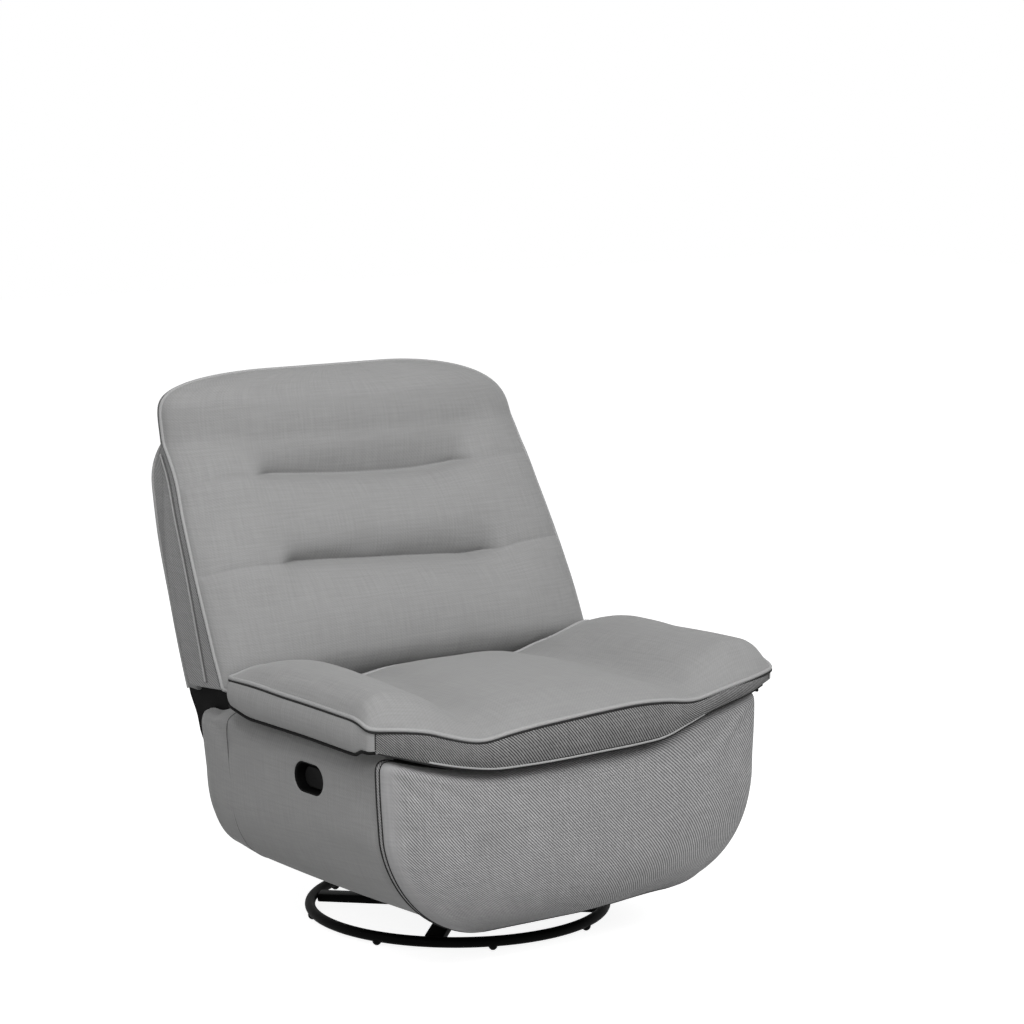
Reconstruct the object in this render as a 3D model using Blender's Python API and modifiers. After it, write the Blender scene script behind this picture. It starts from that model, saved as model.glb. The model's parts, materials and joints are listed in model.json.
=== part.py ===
"""Swivel rocker recliner chair, one object per physical piece, in metres with +Z up.

The chair faces -Y. The origin is on the floor under the swivel axis. In the notes and
in the point lists, "f" is the distance forward of the swivel axis, so f is minus Y.
"""
import math

import bmesh
import bpy
import numpy as np
from mathutils import Matrix, Vector

# Clearances
GAP = 0.0003
LINK_GAP = 0.0005
LAYER_GAP = 0.0015

# Base ring, arms and feet
RING_RADIUS = 0.270
RING_TUBE_RADIUS = 0.0095
RING_POINTS = 40
GLIDE_HEIGHT = 0.0065
GLIDE_RADIUS = 0.012
GLIDE_COUNT = 8
GLIDE_SADDLE = 0.0035
ARM_WIDTH = 0.034
ARM_HEIGHT = 0.015
HUB_RADIUS = 0.045
HUB_TOP_Z = 0.0600

# Swivel and rocker stack
BEARING_HEIGHT = 0.0054
BEARING_RADIUS = 0.055
SPINDLE_RADIUS = 0.010
SPINDLE_HEAD_RADIUS = 0.019
SPINDLE_HEAD_HEIGHT = 0.007
PLATE_THICK = 0.004
PLATE_HALF_WIDTH = 0.165
PLATE_FRONT_F = 0.095
PLATE_REAR_F = -0.180
PLATE_CORNER = 0.030
PLATE_SLOT_X = 0.100
PLATE_SLOT_LENGTH = 0.080
PLATE_SLOT_WIDTH = 0.034
ROCK_AXIS_Z = 0.110
SHAFT_RADIUS = 0.008
SHAFT_HEAD_RADIUS = 0.013
TRUNNION_X = 0.140
TRUNNION_THICK = 0.005
TRUNNION_FOOT_HALF = 0.048
TRUNNION_WAIST_HALF = 0.040
TRUNNION_STEP = 0.012
TRUNNION_EYE = 0.018
CHEEK_THICK = 0.006
CHEEK_TOP_Z = 0.1405
CHEEK_DEPTH = 0.058
CHEEK_FRONT_F = 0.165
CHEEK_REAR_F = -0.190
CHEEK_END_DEPTH = 0.024
RAIL_HEIGHT = 0.031
RAIL_WIDTH = 0.028
FRONT_RAIL_F = 0.044
REAR_RAIL_F = -0.140
SPRING_X = 0.085
SPRING_RADIUS = 0.015
SPRING_WIRE = 0.0020
SPRING_TURNS = 5
SPRING_POINTS = 8

# Mechanism plates and footrest linkage
MECH_X = 0.250
MECH_THICK = 0.004
MECH_BOTTOM_Z = 0.135
MECH_TOP_Z = 0.362
MECH_REAR_F = -0.165
MECH_TOE_F = 0.075
MECH_KNEE_F = 0.170
MECH_KNEE_Z = 0.215
MECH_NOSE = 0.034
MECH_NOSE_Z = 0.315
MECH_EAR_RADIUS = 0.020
MECH_WINDOW_F = -0.030
MECH_WINDOW_Z = 0.285
MECH_WINDOW_LENGTH = 0.095
MECH_WINDOW_HEIGHT = 0.060
MECH_SLOT_Z = 0.200
MECH_SLOT_LENGTH = 0.090
MECH_SLOT_HEIGHT = 0.034
LINK_THICK = 0.004
LINK_HALF_WIDTH = 0.011
PIN_RADIUS = 0.004
PIN_HEAD_RADIUS = 0.0075
PIN_HEAD_THICK = 0.003
CRANK_PIVOT_F = 0.254
CRANK_PIVOT_Z = 0.3485
CRANK_LENGTH = 0.235
CRANK_CLOSED_DEG = -120.0
ARM_SLOPE_DEG = 30.0
ARM_REACH = 0.160
PARALLEL_OFFSET = 0.060
CRANK_TUBE_AT = 0.100
CRANK_TUBE_RADIUS = 0.008
FLANGE_TOE = 0.035
FLANGE_HEAD = 0.026
FLANGE_EYE = 0.012
FLANGE_WEB = 0.030

# Seat frame
BOARD_THICK = 0.0227
BOARD_INNER_X = 0.235
BOARD_FRONT_F = 0.300
BOARD_REAR_F = -0.165
SEAT_RAIL_WIDTH = 0.038
SEAT_RAIL_HEIGHT = 0.040
SEAT_WIRE = 0.0017
SEAT_SPRING_COUNT = 4
SEAT_SPRING_SPACING = 0.110
SEAT_SPRING_SWING = 0.022
SEAT_SPRING_WAVES = 5

# Tub, the curved sides and front
TUB_HALF_WIDTH = 0.405
TUB_FLAT_HALF = 0.200
TUB_TURN_Z = 0.270
TUB_BOTTOM_Z = 0.077
TUB_TOP_Z = 0.402
TUB_POWER = 1.75
PANEL_THICK = 0.030
PANEL_FRONT_F = 0.340
PANEL_REAR_F = -0.238
PANEL_CORNER = 0.045
PANEL_END_DEG = 62.0
PANEL_LEAN = 0.024
PANEL_TAPER = 0.016
PANEL_REAR_POWER = 2.1

# Release handle in the -X side panel
CUP_F = 0.135
CUP_Z = 0.329
CUP_LENGTH = 0.102
CUP_HEIGHT = 0.064
CUP_RIM = 0.005
CUP_WALL = 0.003
CUP_DEPTH = 0.026
CUP_FLANGE = 0.003
LEVER_THICK = 0.004
LEVER_HINGE_OFFSET = 0.034
LEVER_KNUCKLE = 0.003

# Footrest panel
PAD_REAR_F = 0.345
PAD_EDGE = 0.028
PAD_CROWN = 0.030
PAD_TOP_MID_Z = 0.358
PAD_TOP_SIDE_Z = 0.408
PAD_DIP_INNER_X = 0.150
PAD_DIP_OUTER_X = 0.440
REST_BOARD_THICK = 0.012
REST_BOARD_INSET = 0.055
FLAP_THICK = 0.003
FLAP_FOLD_GAP = 0.001
FLAP_FOLDS = 4
FLAP_HEIGHT = 0.050
FLAP_DROP = 0.033
FLAP_HALF_WIDTH = 0.215

# Seat cushion
SEAT_OVERHANG = 0.025
SEAT_STEP_IN = 0.080
SEAT_STEP_WIDTH = 0.045
SEAT_DECK_STEP = 0.022
SEAT_REAR_STEP_IN = 0.180
SEAT_REAR_STEP_WIDTH = 0.100
SEAT_MIDDLE_Z = 0.470
SEAT_VALLEY_Z = 0.446
SEAT_LOBE_Z = 0.508
SEAT_BACK_MIDDLE_Z = 0.462
SEAT_BACK_VALLEY_Z = 0.443
SEAT_BACK_LOBE_Z = 0.502
SEAT_BACK_F = -0.030
SEAT_MID_F = 0.120
SEAT_PIPE_Z = 0.466
SEAT_FRONT_MIDDLE_Z = 0.4485
SEAT_FRONT_VALLEY_Z = 0.428
SEAT_FRONT_CORNER_Z = 0.459
SEAT_REAR_MIDDLE_Z = 0.440
SEAT_REAR_VALLEY_Z = 0.430
SEAT_REAR_LOBE_Z = 0.476
SEAT_FRONT_ROLL = 0.130
SEAT_REAR_ROLL = 0.140
SEAT_REAR_F = -0.100
SEAT_REAR_MID = 0.022
SEAT_CORNER_F = 0.376
SEAT_DECK_F = 0.320
SEAT_DECK_MARK = 0.60
SEAT_BULGE = 0.054
SEAT_SIDE_LOWER_Z = 0.4095
SEAT_REAR_RISE = 0.022
SEAT_REAR_RISE_RUN = 0.090
SEAT_NOSE_MID_Z = 0.370
SEAT_NOSE_SIDE_Z = 0.426
SEAT_BOXING_BULGE = 0.007

# Backrest
RECLINE_F = -0.200
RECLINE_Z = 0.365
BACK_BOTTOM_Z = 0.410
BACK_REAR_F = -0.327
BACK_SLOPE = 0.430
BACK_CURVE = 0.370
SHELL_THICK = 0.050
SHELL_TOP_Z = 0.880
SHELL_INSET = 0.025
SHELL_CORNER = 0.110
BACK_BOARD_THICK = 0.012
BACK_BOARD_INSET = 0.030
BACK_CUSHION_BOTTOM_Z = 0.424
BACK_CUSHION_TOP_Z = 0.974
BACK_ARCH_Z = 0.800
BACK_ARCH_RISE = 4.0
BACK_ARCH_ROUND = 1.8
BACK_CUSHION_LOW_INSET = 0.002
BACK_CUSHION_ARCH_INSET = 0.012
BACK_CUSHION_TOP_INSET = 0.235
PIPE_F = -0.150
PIPE_SLOPE = 0.345
PIPE_CURVE = 0.382
BACK_CROWN = 0.052
BACK_EDGE = 0.012
CHANNEL_LOW_Z = 0.626
CHANNEL_HIGH_Z = 0.774
CHANNEL_DEPTH = 0.040
CHANNEL_SIDE_DEPTH = 0.012
CHANNEL_ROW = 0.014
CHANNEL_REACH = 0.110
TUFT_HALF = 0.170
TUFT_FADE = 0.120
BACK_LOW_ROLL = 0.060
BACK_HIGH_ROLL = 0.050
BRACKET_ELBOW_F = -0.292
BRACKET_ELBOW_DROP = 0.008
BRACKET_TOP_F = -0.365
BRACKET_TOP_Z = 0.575
BRACKET_HALF_WIDTH = 0.013
BRACKET_PIN_RADIUS = 0.006
SKIRT_THICK = 0.008
SKIRT_CLOTH = 0.0045
SKIRT_FOLD = 0.007
SKIRT_FOLDS = 5
SKIRT_INSET = 0.053
SKIRT_TOP_F = -0.322
SKIRT_END_F = -0.250
SKIRT_END_Z = 0.215

# Derived heights and positions
RING_Z = GLIDE_HEIGHT + RING_TUBE_RADIUS
BEARING_Z = HUB_TOP_Z + GAP
PLATE_Z = BEARING_Z + BEARING_HEIGHT + GAP
PLATE_TOP_Z = PLATE_Z + PLATE_THICK
CHEEK_X = TRUNNION_X + TRUNNION_THICK + LINK_GAP
RAIL_Z = CHEEK_TOP_Z + GAP
RAIL_END_X = MECH_X - GAP
BOARD_Z = MECH_TOP_Z + GAP
SEAT_FRAME_TOP_Z = BOARD_Z + BOARD_THICK
CRANK_X = MECH_X - LINK_GAP - LINK_THICK
ARM_X = CRANK_X - LINK_GAP - LINK_THICK
FLANGE_X = ARM_X - LINK_GAP - LINK_THICK
PANEL_INNER_X = TUB_HALF_WIDTH - PANEL_THICK
REST_BOARD_F = PAD_REAR_F - GAP - REST_BOARD_THICK
SEAT_UNDER_Z = SEAT_FRAME_TOP_Z + 2 * SEAT_WIRE + 4 * GAP
SEAT_HALF_WIDTH = TUB_HALF_WIDTH + SEAT_OVERHANG
SHELL_HALF_WIDTH = TUB_HALF_WIDTH - SHELL_INSET
BACK_CUSHION_LOW_HALF = TUB_HALF_WIDTH - BACK_CUSHION_LOW_INSET
BACK_CUSHION_ARCH_HALF = TUB_HALF_WIDTH - BACK_CUSHION_ARCH_INSET
BACK_CUSHION_TOP_HALF = TUB_HALF_WIDTH - BACK_CUSHION_TOP_INSET
SKIRT_HALF_WIDTH = TUB_HALF_WIDTH - SKIRT_INSET
LEVER_X = -(TUB_HALF_WIDTH - 0.009)


def unit(angle_deg):
    """Unit vector in the (f, z) plane."""
    angle = math.radians(angle_deg)
    return np.array((math.cos(angle), math.sin(angle)))


# Linkage points in the (f, z) plane. Every crank and arm is a parallelogram, so the
# footrest turns exactly about FOOT_AXIS, at the front edge of the seat.
CRANK_A = np.array((CRANK_PIVOT_F, CRANK_PIVOT_Z))
CRANK_DIR = unit(CRANK_CLOSED_DEG)
ARM_DIR = unit(ARM_SLOPE_DEG)
FOOT_AXIS = CRANK_A + ARM_REACH * ARM_DIR
REAR_A = CRANK_A - PARALLEL_OFFSET * ARM_DIR
CRANK_B = CRANK_A + CRANK_LENGTH * CRANK_DIR
REAR_B = REAR_A + CRANK_LENGTH * CRANK_DIR
CRANK_H = CRANK_B - PARALLEL_OFFSET * CRANK_DIR
FOOT_C = CRANK_B + ARM_REACH * ARM_DIR
FOOT_D = CRANK_H + ARM_REACH * ARM_DIR
RECLINE_P = np.array((RECLINE_F, RECLINE_Z))
SKIRT_TOP_Z = BACK_BOTTOM_Z - GAP - SKIRT_THICK / 2

for old in list(bpy.data.objects):
    bpy.data.objects.remove(old, do_unlink=True)

CHAIR = bpy.data.collections.new("swivel_rocker_recliner")
CUTTERS = bpy.data.collections.new("cutters")
bpy.context.scene.collection.children.link(CHAIR)
bpy.context.scene.collection.children.link(CUTTERS)


def material(name, colour, roughness, metallic=0.0):
    """Plain Principled material."""
    mat = bpy.data.materials.new(name)
    mat.use_nodes = True
    shader = mat.node_tree.nodes["Principled BSDF"]
    shader.inputs["Base Color"].default_value = (*colour, 1.0)
    shader.inputs["Roughness"].default_value = roughness
    shader.inputs["Metallic"].default_value = metallic
    return mat


FABRIC = material("upholstery_fabric", (0.30, 0.30, 0.30), 0.90)
STEEL = material("black_steel", (0.012, 0.012, 0.012), 0.40, 0.6)
PLASTIC = material("black_plastic", (0.015, 0.015, 0.015), 0.45)
NYLON = material("bearing_nylon", (0.10, 0.10, 0.10), 0.50)
WOOD = material("frame_wood", (0.45, 0.32, 0.20), 0.70)
SPRING_STEEL = material("spring_steel", (0.35, 0.35, 0.36), 0.35, 1.0)


def axis_empty(name, f=0.0, z=0.0, x=0.0, parent=None):
    """Empty on a joint axis that carries the pieces which turn there."""
    empty = bpy.data.objects.new(name, None)
    empty.empty_display_size = 0.05
    CHAIR.objects.link(empty)
    if parent is not None:
        empty.parent = parent
        empty.matrix_parent_inverse = Matrix.Translation(-WORLD_AT[parent.name])
    empty.location = Vector((x, -f, z))
    WORLD_AT[empty.name] = Vector((x, -f, z))
    return empty


WORLD_AT = {}
BASE = axis_empty("base_frame")
TURNTABLE = axis_empty("swivel_axis", parent=BASE)
BODY = axis_empty("rock_axis", z=ROCK_AXIS_Z, parent=TURNTABLE)
BACK = axis_empty("recline_axis", *RECLINE_P, parent=BODY)
SKIRT = axis_empty("skirt_axis", SKIRT_TOP_F, SKIRT_TOP_Z, parent=BACK)
FOOT = axis_empty("footrest_axis", *FOOT_AXIS, parent=BODY)
FRONT_CRANKS = axis_empty("front_crank_axis", *CRANK_A, parent=BODY)
REAR_CRANKS = axis_empty("rear_crank_axis", *REAR_A, parent=BODY)
CARRIERS = axis_empty("carrier_axis", *FOOT_C, parent=FOOT)
DRAGS = axis_empty("drag_axis", *FOOT_D, parent=FOOT)
LEVER = axis_empty("lever_axis", CUP_F + LEVER_HINGE_OFFSET, CUP_Z, LEVER_X, parent=BODY)


def adopt(obj, mat, carrier):
    """Put a finished object in the chair, with its material and its carrier."""
    CHAIR.objects.link(obj)
    obj.data.materials.clear()
    obj.data.materials.append(mat)
    obj.parent = carrier
    obj.matrix_parent_inverse = Matrix.Translation(-WORLD_AT[carrier.name])
    return obj


def cutter(obj):
    """Keep a helper solid for a Boolean, out of the render."""
    CUTTERS.objects.link(obj)
    obj.hide_render = True
    obj.display_type = "WIRE"
    return obj


def from_bmesh(name, bm):
    """Object that holds a finished bmesh, with its faces pointing outwards."""
    bmesh.ops.recalc_face_normals(bm, faces=bm.faces)
    if bm.calc_volume(signed=True) < 0:
        bmesh.ops.reverse_faces(bm, faces=bm.faces)
    mesh = bpy.data.meshes.new(name)
    bm.to_mesh(mesh)
    bm.free()
    return bpy.data.objects.new(name, mesh)


def solid_box(name, low, high):
    """Box between two corners, given as (x, f, z)."""
    bm = bmesh.new()
    bmesh.ops.create_cube(bm, size=1.0)
    size = [high[i] - low[i] for i in range(3)]
    middle = [(high[i] + low[i]) / 2 for i in range(3)]
    bmesh.ops.scale(bm, vec=size, verts=bm.verts)
    bmesh.ops.translate(bm, vec=(middle[0], -middle[1], middle[2]), verts=bm.verts)
    return from_bmesh(name, bm)


def rod(name, start, end, radius, sides=16):
    """Round bar between two points, given as (x, f, z)."""
    a = Vector((start[0], -start[1], start[2]))
    b = Vector((end[0], -end[1], end[2]))
    along = b - a
    turn = Vector((0, 0, 1)).rotation_difference(along.normalized()).to_matrix().to_4x4()
    bm = bmesh.new()
    bmesh.ops.create_cone(
        bm,
        cap_ends=True,
        segments=sides,
        radius1=radius,
        radius2=radius,
        depth=along.length,
        matrix=Matrix.Translation((a + b) / 2) @ turn,
    )
    return from_bmesh(name, bm)


def curve_mesh(name, curve, matrix):
    """Turn a curve into a welded mesh object in world coordinates."""
    temp = bpy.data.objects.new(name + "_curve", curve)
    bpy.context.scene.collection.objects.link(temp)
    bpy.context.view_layer.update()
    graph = bpy.context.evaluated_depsgraph_get()
    mesh = bpy.data.meshes.new_from_object(temp.evaluated_get(graph))
    bpy.data.objects.remove(temp, do_unlink=True)
    bpy.data.curves.remove(curve)
    bm = bmesh.new()
    bm.from_mesh(mesh)
    bpy.data.meshes.remove(mesh)
    bmesh.ops.remove_doubles(bm, verts=bm.verts, dist=1e-6)
    bmesh.ops.transform(bm, matrix=matrix, verts=bm.verts)
    return from_bmesh(name, bm)


def add_spline(curve, points, cyclic):
    """Straight-sided spline through 2D or 3D points."""
    spline = curve.splines.new("POLY")
    spline.points.add(len(points) - 1)
    for target, point in zip(spline.points, points):
        depth = point[2] if len(point) > 2 else 0.0
        target.co = (point[0], point[1], depth, 1.0)
    spline.use_cyclic_u = cyclic


def sheet(name, loops, low, high, plane):
    """Filled outline with holes. plane X, Y or Z is the way the thickness runs.

    Outline points are (f, z) for X, (x, z) for Y and (x, f) for Z.
    """
    curve = bpy.data.curves.new(name, "CURVE")
    curve.dimensions = "2D"
    curve.fill_mode = "BOTH"
    curve.extrude = abs(high - low) / 2
    for loop in loops:
        add_spline(curve, loop, True)
    middle = (low + high) / 2
    if plane == "X":
        columns = ((0, -1, 0), (0, 0, 1), (-1, 0, 0))
        shift = Vector((middle, 0, 0))
    elif plane == "Y":
        columns = ((1, 0, 0), (0, 0, 1), (0, -1, 0))
        shift = Vector((0, -middle, 0))
    else:
        columns = ((1, 0, 0), (0, -1, 0), (0, 0, -1))
        shift = Vector((0, 0, middle))
    matrix = Matrix.Translation(shift) @ Matrix(columns).transposed().to_4x4()
    return curve_mesh(name, curve, matrix)


def tube(name, points, radius, resolution=2, cyclic=False):
    """Round wire or pipe through (x, f, z) points."""
    curve = bpy.data.curves.new(name, "CURVE")
    curve.dimensions = "3D"
    curve.bevel_depth = radius
    curve.bevel_resolution = resolution
    curve.use_fill_caps = True
    add_spline(curve, [(p[0], -p[1], p[2]) for p in points], cyclic)
    return curve_mesh(name, curve, Matrix.Identity(4))


def turned(name, profile, closed=False, steps=24):
    """Piece of revolution about Z from (radius, z) points, top to bottom."""
    bm = bmesh.new()
    verts = [bm.verts.new((r, 0.0, z)) for r, z in profile]
    pairs = list(zip(verts, verts[1:]))
    if closed:
        pairs.append((verts[-1], verts[0]))
    edges = [bm.edges.new(pair) for pair in pairs]
    bmesh.ops.spin(
        bm,
        geom=verts + edges,
        cent=(0, 0, 0),
        axis=(0, 0, 1),
        angle=2 * math.pi,
        steps=steps,
        use_merge=True,
    )
    bmesh.ops.remove_doubles(bm, verts=bm.verts, dist=1e-6)
    return from_bmesh(name, bm)


def circle(centre, radius, sides=16):
    """Points of a circle."""
    step = 2 * math.pi / sides
    return [
        (centre[0] + radius * math.cos(i * step), centre[1] + radius * math.sin(i * step))
        for i in range(sides)
    ]


def stroke(points, half_width, end_sides=6):
    """Outline of a bar of even width along a line of points, with round ends."""
    pts = [np.array(p, float) for p in points]
    left = []
    right = []
    for i, point in enumerate(pts):
        before = pts[max(i - 1, 0)]
        after = pts[min(i + 1, len(pts) - 1)]
        d_in = point - before if i > 0 else after - point
        d_out = after - point if i < len(pts) - 1 else d_in
        d_in = d_in / np.linalg.norm(d_in)
        d_out = d_out / np.linalg.norm(d_out)
        normal = np.array((-d_in[1] - d_out[1], d_in[0] + d_out[0]))
        normal = normal / np.linalg.norm(normal)
        stretch = 1.0 / max(0.5, float(np.dot(normal, (-d_in[1], d_in[0]))))
        left.append(point + normal * half_width * stretch)
        right.append(point - normal * half_width * stretch)

    def cap(centre, start):
        first = math.atan2(*(start - centre)[::-1])
        return [
            centre + half_width * np.array((math.cos(first - k * math.pi / end_sides),
                                            math.sin(first - k * math.pi / end_sides)))
            for k in range(1, end_sides)
        ]

    outline = left + cap(pts[-1], left[-1]) + right[::-1] + cap(pts[0], right[0])
    return [tuple(p) for p in outline]


def stadium(centre, length, height, sides=8):
    """Long rounded outline along the first axis."""
    reach = (length - height) / 2
    ends = [(centre[0] - reach, centre[1]), (centre[0] + reach, centre[1])]
    return stroke(ends, height / 2, sides)


def boolean(obj, other, operation):
    """Add an exact Boolean of a mesh object."""
    mod = obj.modifiers.new(operation.lower(), "BOOLEAN")
    mod.operation = operation
    mod.solver = "EXACT"
    mod.object = other
    return mod


def bevel(obj, width, segments=2):
    """Round the sharp edges."""
    mod = obj.modifiers.new("round", "BEVEL")
    mod.width = width
    mod.segments = segments
    mod.limit_method = "ANGLE"
    mod.angle_limit = math.radians(40)
    return mod


def cage(name, cuts_a, cuts_b, cuts_c, place, levels=1):
    """Soft form: a cube cut into rows, each vertex moved by a formula, then smoothed.

    The cuts are positions between -1 and 1. place(a, b, c) returns (x, f, z).
    """
    bm = bmesh.new()
    bmesh.ops.create_cube(bm, size=2.0)
    for axis, cuts in enumerate((cuts_a, cuts_b, cuts_c)):
        normal = [0.0, 0.0, 0.0]
        normal[axis] = 1.0
        for cut in cuts:
            point = [0.0, 0.0, 0.0]
            point[axis] = cut
            whole = bm.verts[:] + bm.edges[:] + bm.faces[:]
            bmesh.ops.bisect_plane(bm, geom=whole, plane_co=point, plane_no=normal, dist=1e-6)
    for vert in bm.verts:
        x, f, z = place(*vert.co)
        vert.co = (x, -f, z)
    obj = from_bmesh(name, bm)
    if levels:
        smooth = obj.modifiers.new("smooth", "SUBSURF")
        smooth.levels = levels
        smooth.render_levels = levels
    return obj


def knots(value, table):
    """Straight-line reading of a named list of (position, value) points."""
    return float(np.interp(value, [k[0] for k in table], [k[1] for k in table]))


def ease(value):
    """Smooth step from 0 to 1."""
    value = min(1.0, max(0.0, value))
    return value * value * (3.0 - 2.0 * value)


def mix(low, high, amount):
    """Straight-line blend."""
    return low + (high - low) * amount


# Base
ring_points = [
    (RING_RADIUS * math.cos(2 * math.pi * i / RING_POINTS),
     RING_RADIUS * math.sin(2 * math.pi * i / RING_POINTS),
     RING_Z)
    for i in range(RING_POINTS)
]
adopt(tube("base_ring", ring_points, RING_TUBE_RADIUS, cyclic=True), STEEL, BASE)

half_arm = ARM_WIDTH / 2
ring_inner = RING_RADIUS * math.cos(math.pi / RING_POINTS) - RING_TUBE_RADIUS - GAP
arm_end = math.sqrt(ring_inner ** 2 - half_arm ** 2)
plus = []
for quarter in range(4):
    turn = math.radians(45 + 90 * quarter)
    along = np.array((math.cos(turn), math.sin(turn)))
    side = np.array((-along[1], along[0]))
    plus.append(tuple(along * arm_end - side * half_arm))
    plus.append(tuple(along * arm_end + side * half_arm))
    plus.append(tuple(along * half_arm + side * half_arm))
arms = cutter(sheet("arm_cross", [plus], RING_Z - ARM_HEIGHT / 2, RING_Z + ARM_HEIGHT / 2, "Z"))
bevel(arms, 0.003)
hub = rod("base_cross", (0, 0, RING_Z - ARM_HEIGHT / 2), (0, 0, HUB_TOP_Z), HUB_RADIUS, 32)
boolean(hub, arms, "UNION")
spindle_hole = cutter(rod("spindle_hole", (0, 0, 0), (0, 0, HUB_TOP_Z * 2), SPINDLE_RADIUS + GAP, 24))
boolean(hub, spindle_hole, "DIFFERENCE")
adopt(hub, STEEL, BASE)

head_z = PLATE_TOP_Z + LINK_GAP
spindle = turned("swivel_spindle", [
    (0.0, head_z + SPINDLE_HEAD_HEIGHT),
    (SPINDLE_HEAD_RADIUS - 0.002, head_z + SPINDLE_HEAD_HEIGHT),
    (SPINDLE_HEAD_RADIUS, head_z + SPINDLE_HEAD_HEIGHT - 0.002),
    (SPINDLE_HEAD_RADIUS, head_z),
    (SPINDLE_RADIUS, head_z),
    (SPINDLE_RADIUS, RING_Z - ARM_HEIGHT / 2),
    (0.0, RING_Z - ARM_HEIGHT / 2),
])
adopt(spindle, STEEL, BASE)

ring_saddle = cutter(tube("ring_saddle", ring_points, RING_TUBE_RADIUS + GAP, cyclic=True))
for index in range(GLIDE_COUNT):
    turn = 2 * math.pi * (index + 0.5) / GLIDE_COUNT
    gx = RING_RADIUS * math.cos(turn)
    gf = RING_RADIUS * math.sin(turn)
    top = GLIDE_HEIGHT + GLIDE_SADDLE
    glide = rod("glide_%d" % (index + 1), (gx, gf, 0), (gx, gf, top), GLIDE_RADIUS, 12)
    boolean(glide, ring_saddle, "DIFFERENCE")
    adopt(glide, PLASTIC, BASE)

# Turntable
bearing = turned("swivel_bearing", [
    (BEARING_RADIUS, BEARING_Z + BEARING_HEIGHT),
    (BEARING_RADIUS, BEARING_Z),
    (SPINDLE_RADIUS + GAP, BEARING_Z),
    (SPINDLE_RADIUS + GAP, BEARING_Z + BEARING_HEIGHT),
], closed=True)
adopt(bearing, NYLON, TURNTABLE)

plate_outline = []
corner_x = PLATE_HALF_WIDTH - PLATE_CORNER
corners = (
    (corner_x, PLATE_FRONT_F - PLATE_CORNER, 0),
    (-corner_x, PLATE_FRONT_F - PLATE_CORNER, 90),
    (-corner_x, PLATE_REAR_F + PLATE_CORNER, 180),
    (corner_x, PLATE_REAR_F + PLATE_CORNER, 270),
)
for mid_x, mid_f, first_deg in corners:
    for step in range(5):
        plate_outline.append(tuple(np.array((mid_x, mid_f)) + PLATE_CORNER * unit(first_deg + 22.5 * step)))
plate_loops = [plate_outline, circle((0, 0), SPINDLE_RADIUS + GAP, 24)]
plate_slot_f = (FRONT_RAIL_F + REAR_RAIL_F) / 2
for sign in (1, -1):
    slot = stadium((plate_slot_f, sign * PLATE_SLOT_X), PLATE_SLOT_LENGTH, PLATE_SLOT_WIDTH)
    plate_loops.append([(x, f) for f, x in slot])
adopt(sheet("swivel_plate", plate_loops, PLATE_Z, PLATE_TOP_Z, "Z"), STEEL, TURNTABLE)

shaft_at = (0.0, ROCK_AXIS_Z)
shaft_hole = circle(shaft_at, SHAFT_RADIUS + GAP)
trunnion_foot_z = PLATE_TOP_Z + GAP
trunnion_outline = [
    (-TRUNNION_FOOT_HALF, trunnion_foot_z),
    (TRUNNION_FOOT_HALF, trunnion_foot_z),
    (TRUNNION_WAIST_HALF, trunnion_foot_z + TRUNNION_STEP),
]
for step in range(7):
    trunnion_outline.append(tuple(np.array(shaft_at) + TRUNNION_EYE * unit(15 + 25 * step)))
trunnion_outline.append((-TRUNNION_WAIST_HALF, trunnion_foot_z + TRUNNION_STEP))

cheek_outline = [(CHEEK_FRONT_F, CHEEK_TOP_Z), (CHEEK_REAR_F, CHEEK_TOP_Z)]
for step in range(13):
    share = step / 12
    f_here = mix(CHEEK_REAR_F, CHEEK_FRONT_F, share)
    half = CHEEK_FRONT_F if f_here > 0 else -CHEEK_REAR_F
    rise = (abs(f_here) / half) ** 2
    cheek_outline.append((f_here, CHEEK_TOP_Z - mix(CHEEK_DEPTH, CHEEK_END_DEPTH, rise)))

for side, sign in (("left", 1), ("right", -1)):
    stand = sheet("trunnion_" + side, [trunnion_outline, shaft_hole],
                  sign * TRUNNION_X, sign * (TRUNNION_X + TRUNNION_THICK), "X")
    adopt(stand, STEEL, TURNTABLE)
    cheek = sheet("rocker_cheek_" + side, [cheek_outline, shaft_hole],
                  sign * CHEEK_X, sign * (CHEEK_X + CHEEK_THICK), "X")
    adopt(cheek, STEEL, BODY)

shaft_end = CHEEK_X + CHEEK_THICK + LINK_GAP
shaft = turned("rock_shaft", [
    (0.0, shaft_end + 0.005),
    (SHAFT_HEAD_RADIUS, shaft_end + 0.005),
    (SHAFT_HEAD_RADIUS, shaft_end),
    (SHAFT_RADIUS, shaft_end),
    (SHAFT_RADIUS, -shaft_end),
    (SHAFT_HEAD_RADIUS, -shaft_end),
    (SHAFT_HEAD_RADIUS, -shaft_end - 0.005),
    (0.0, -shaft_end - 0.005),
], steps=16)
shaft.rotation_euler = (0.0, math.radians(90), 0.0)
shaft.location = (0.0, 0.0, ROCK_AXIS_Z)
adopt(shaft, STEEL, TURNTABLE)

# Rails across the chair, standing on the rocker cheeks
for label, rail_f in (("front", FRONT_RAIL_F), ("rear", REAR_RAIL_F)):
    rail = solid_box("cross_rail_" + label,
                     (-RAIL_END_X, rail_f - RAIL_WIDTH / 2, RAIL_Z),
                     (RAIL_END_X, rail_f + RAIL_WIDTH / 2, RAIL_Z + RAIL_HEIGHT))
    bevel(rail, 0.003)
    adopt(rail, STEEL, BODY)

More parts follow.
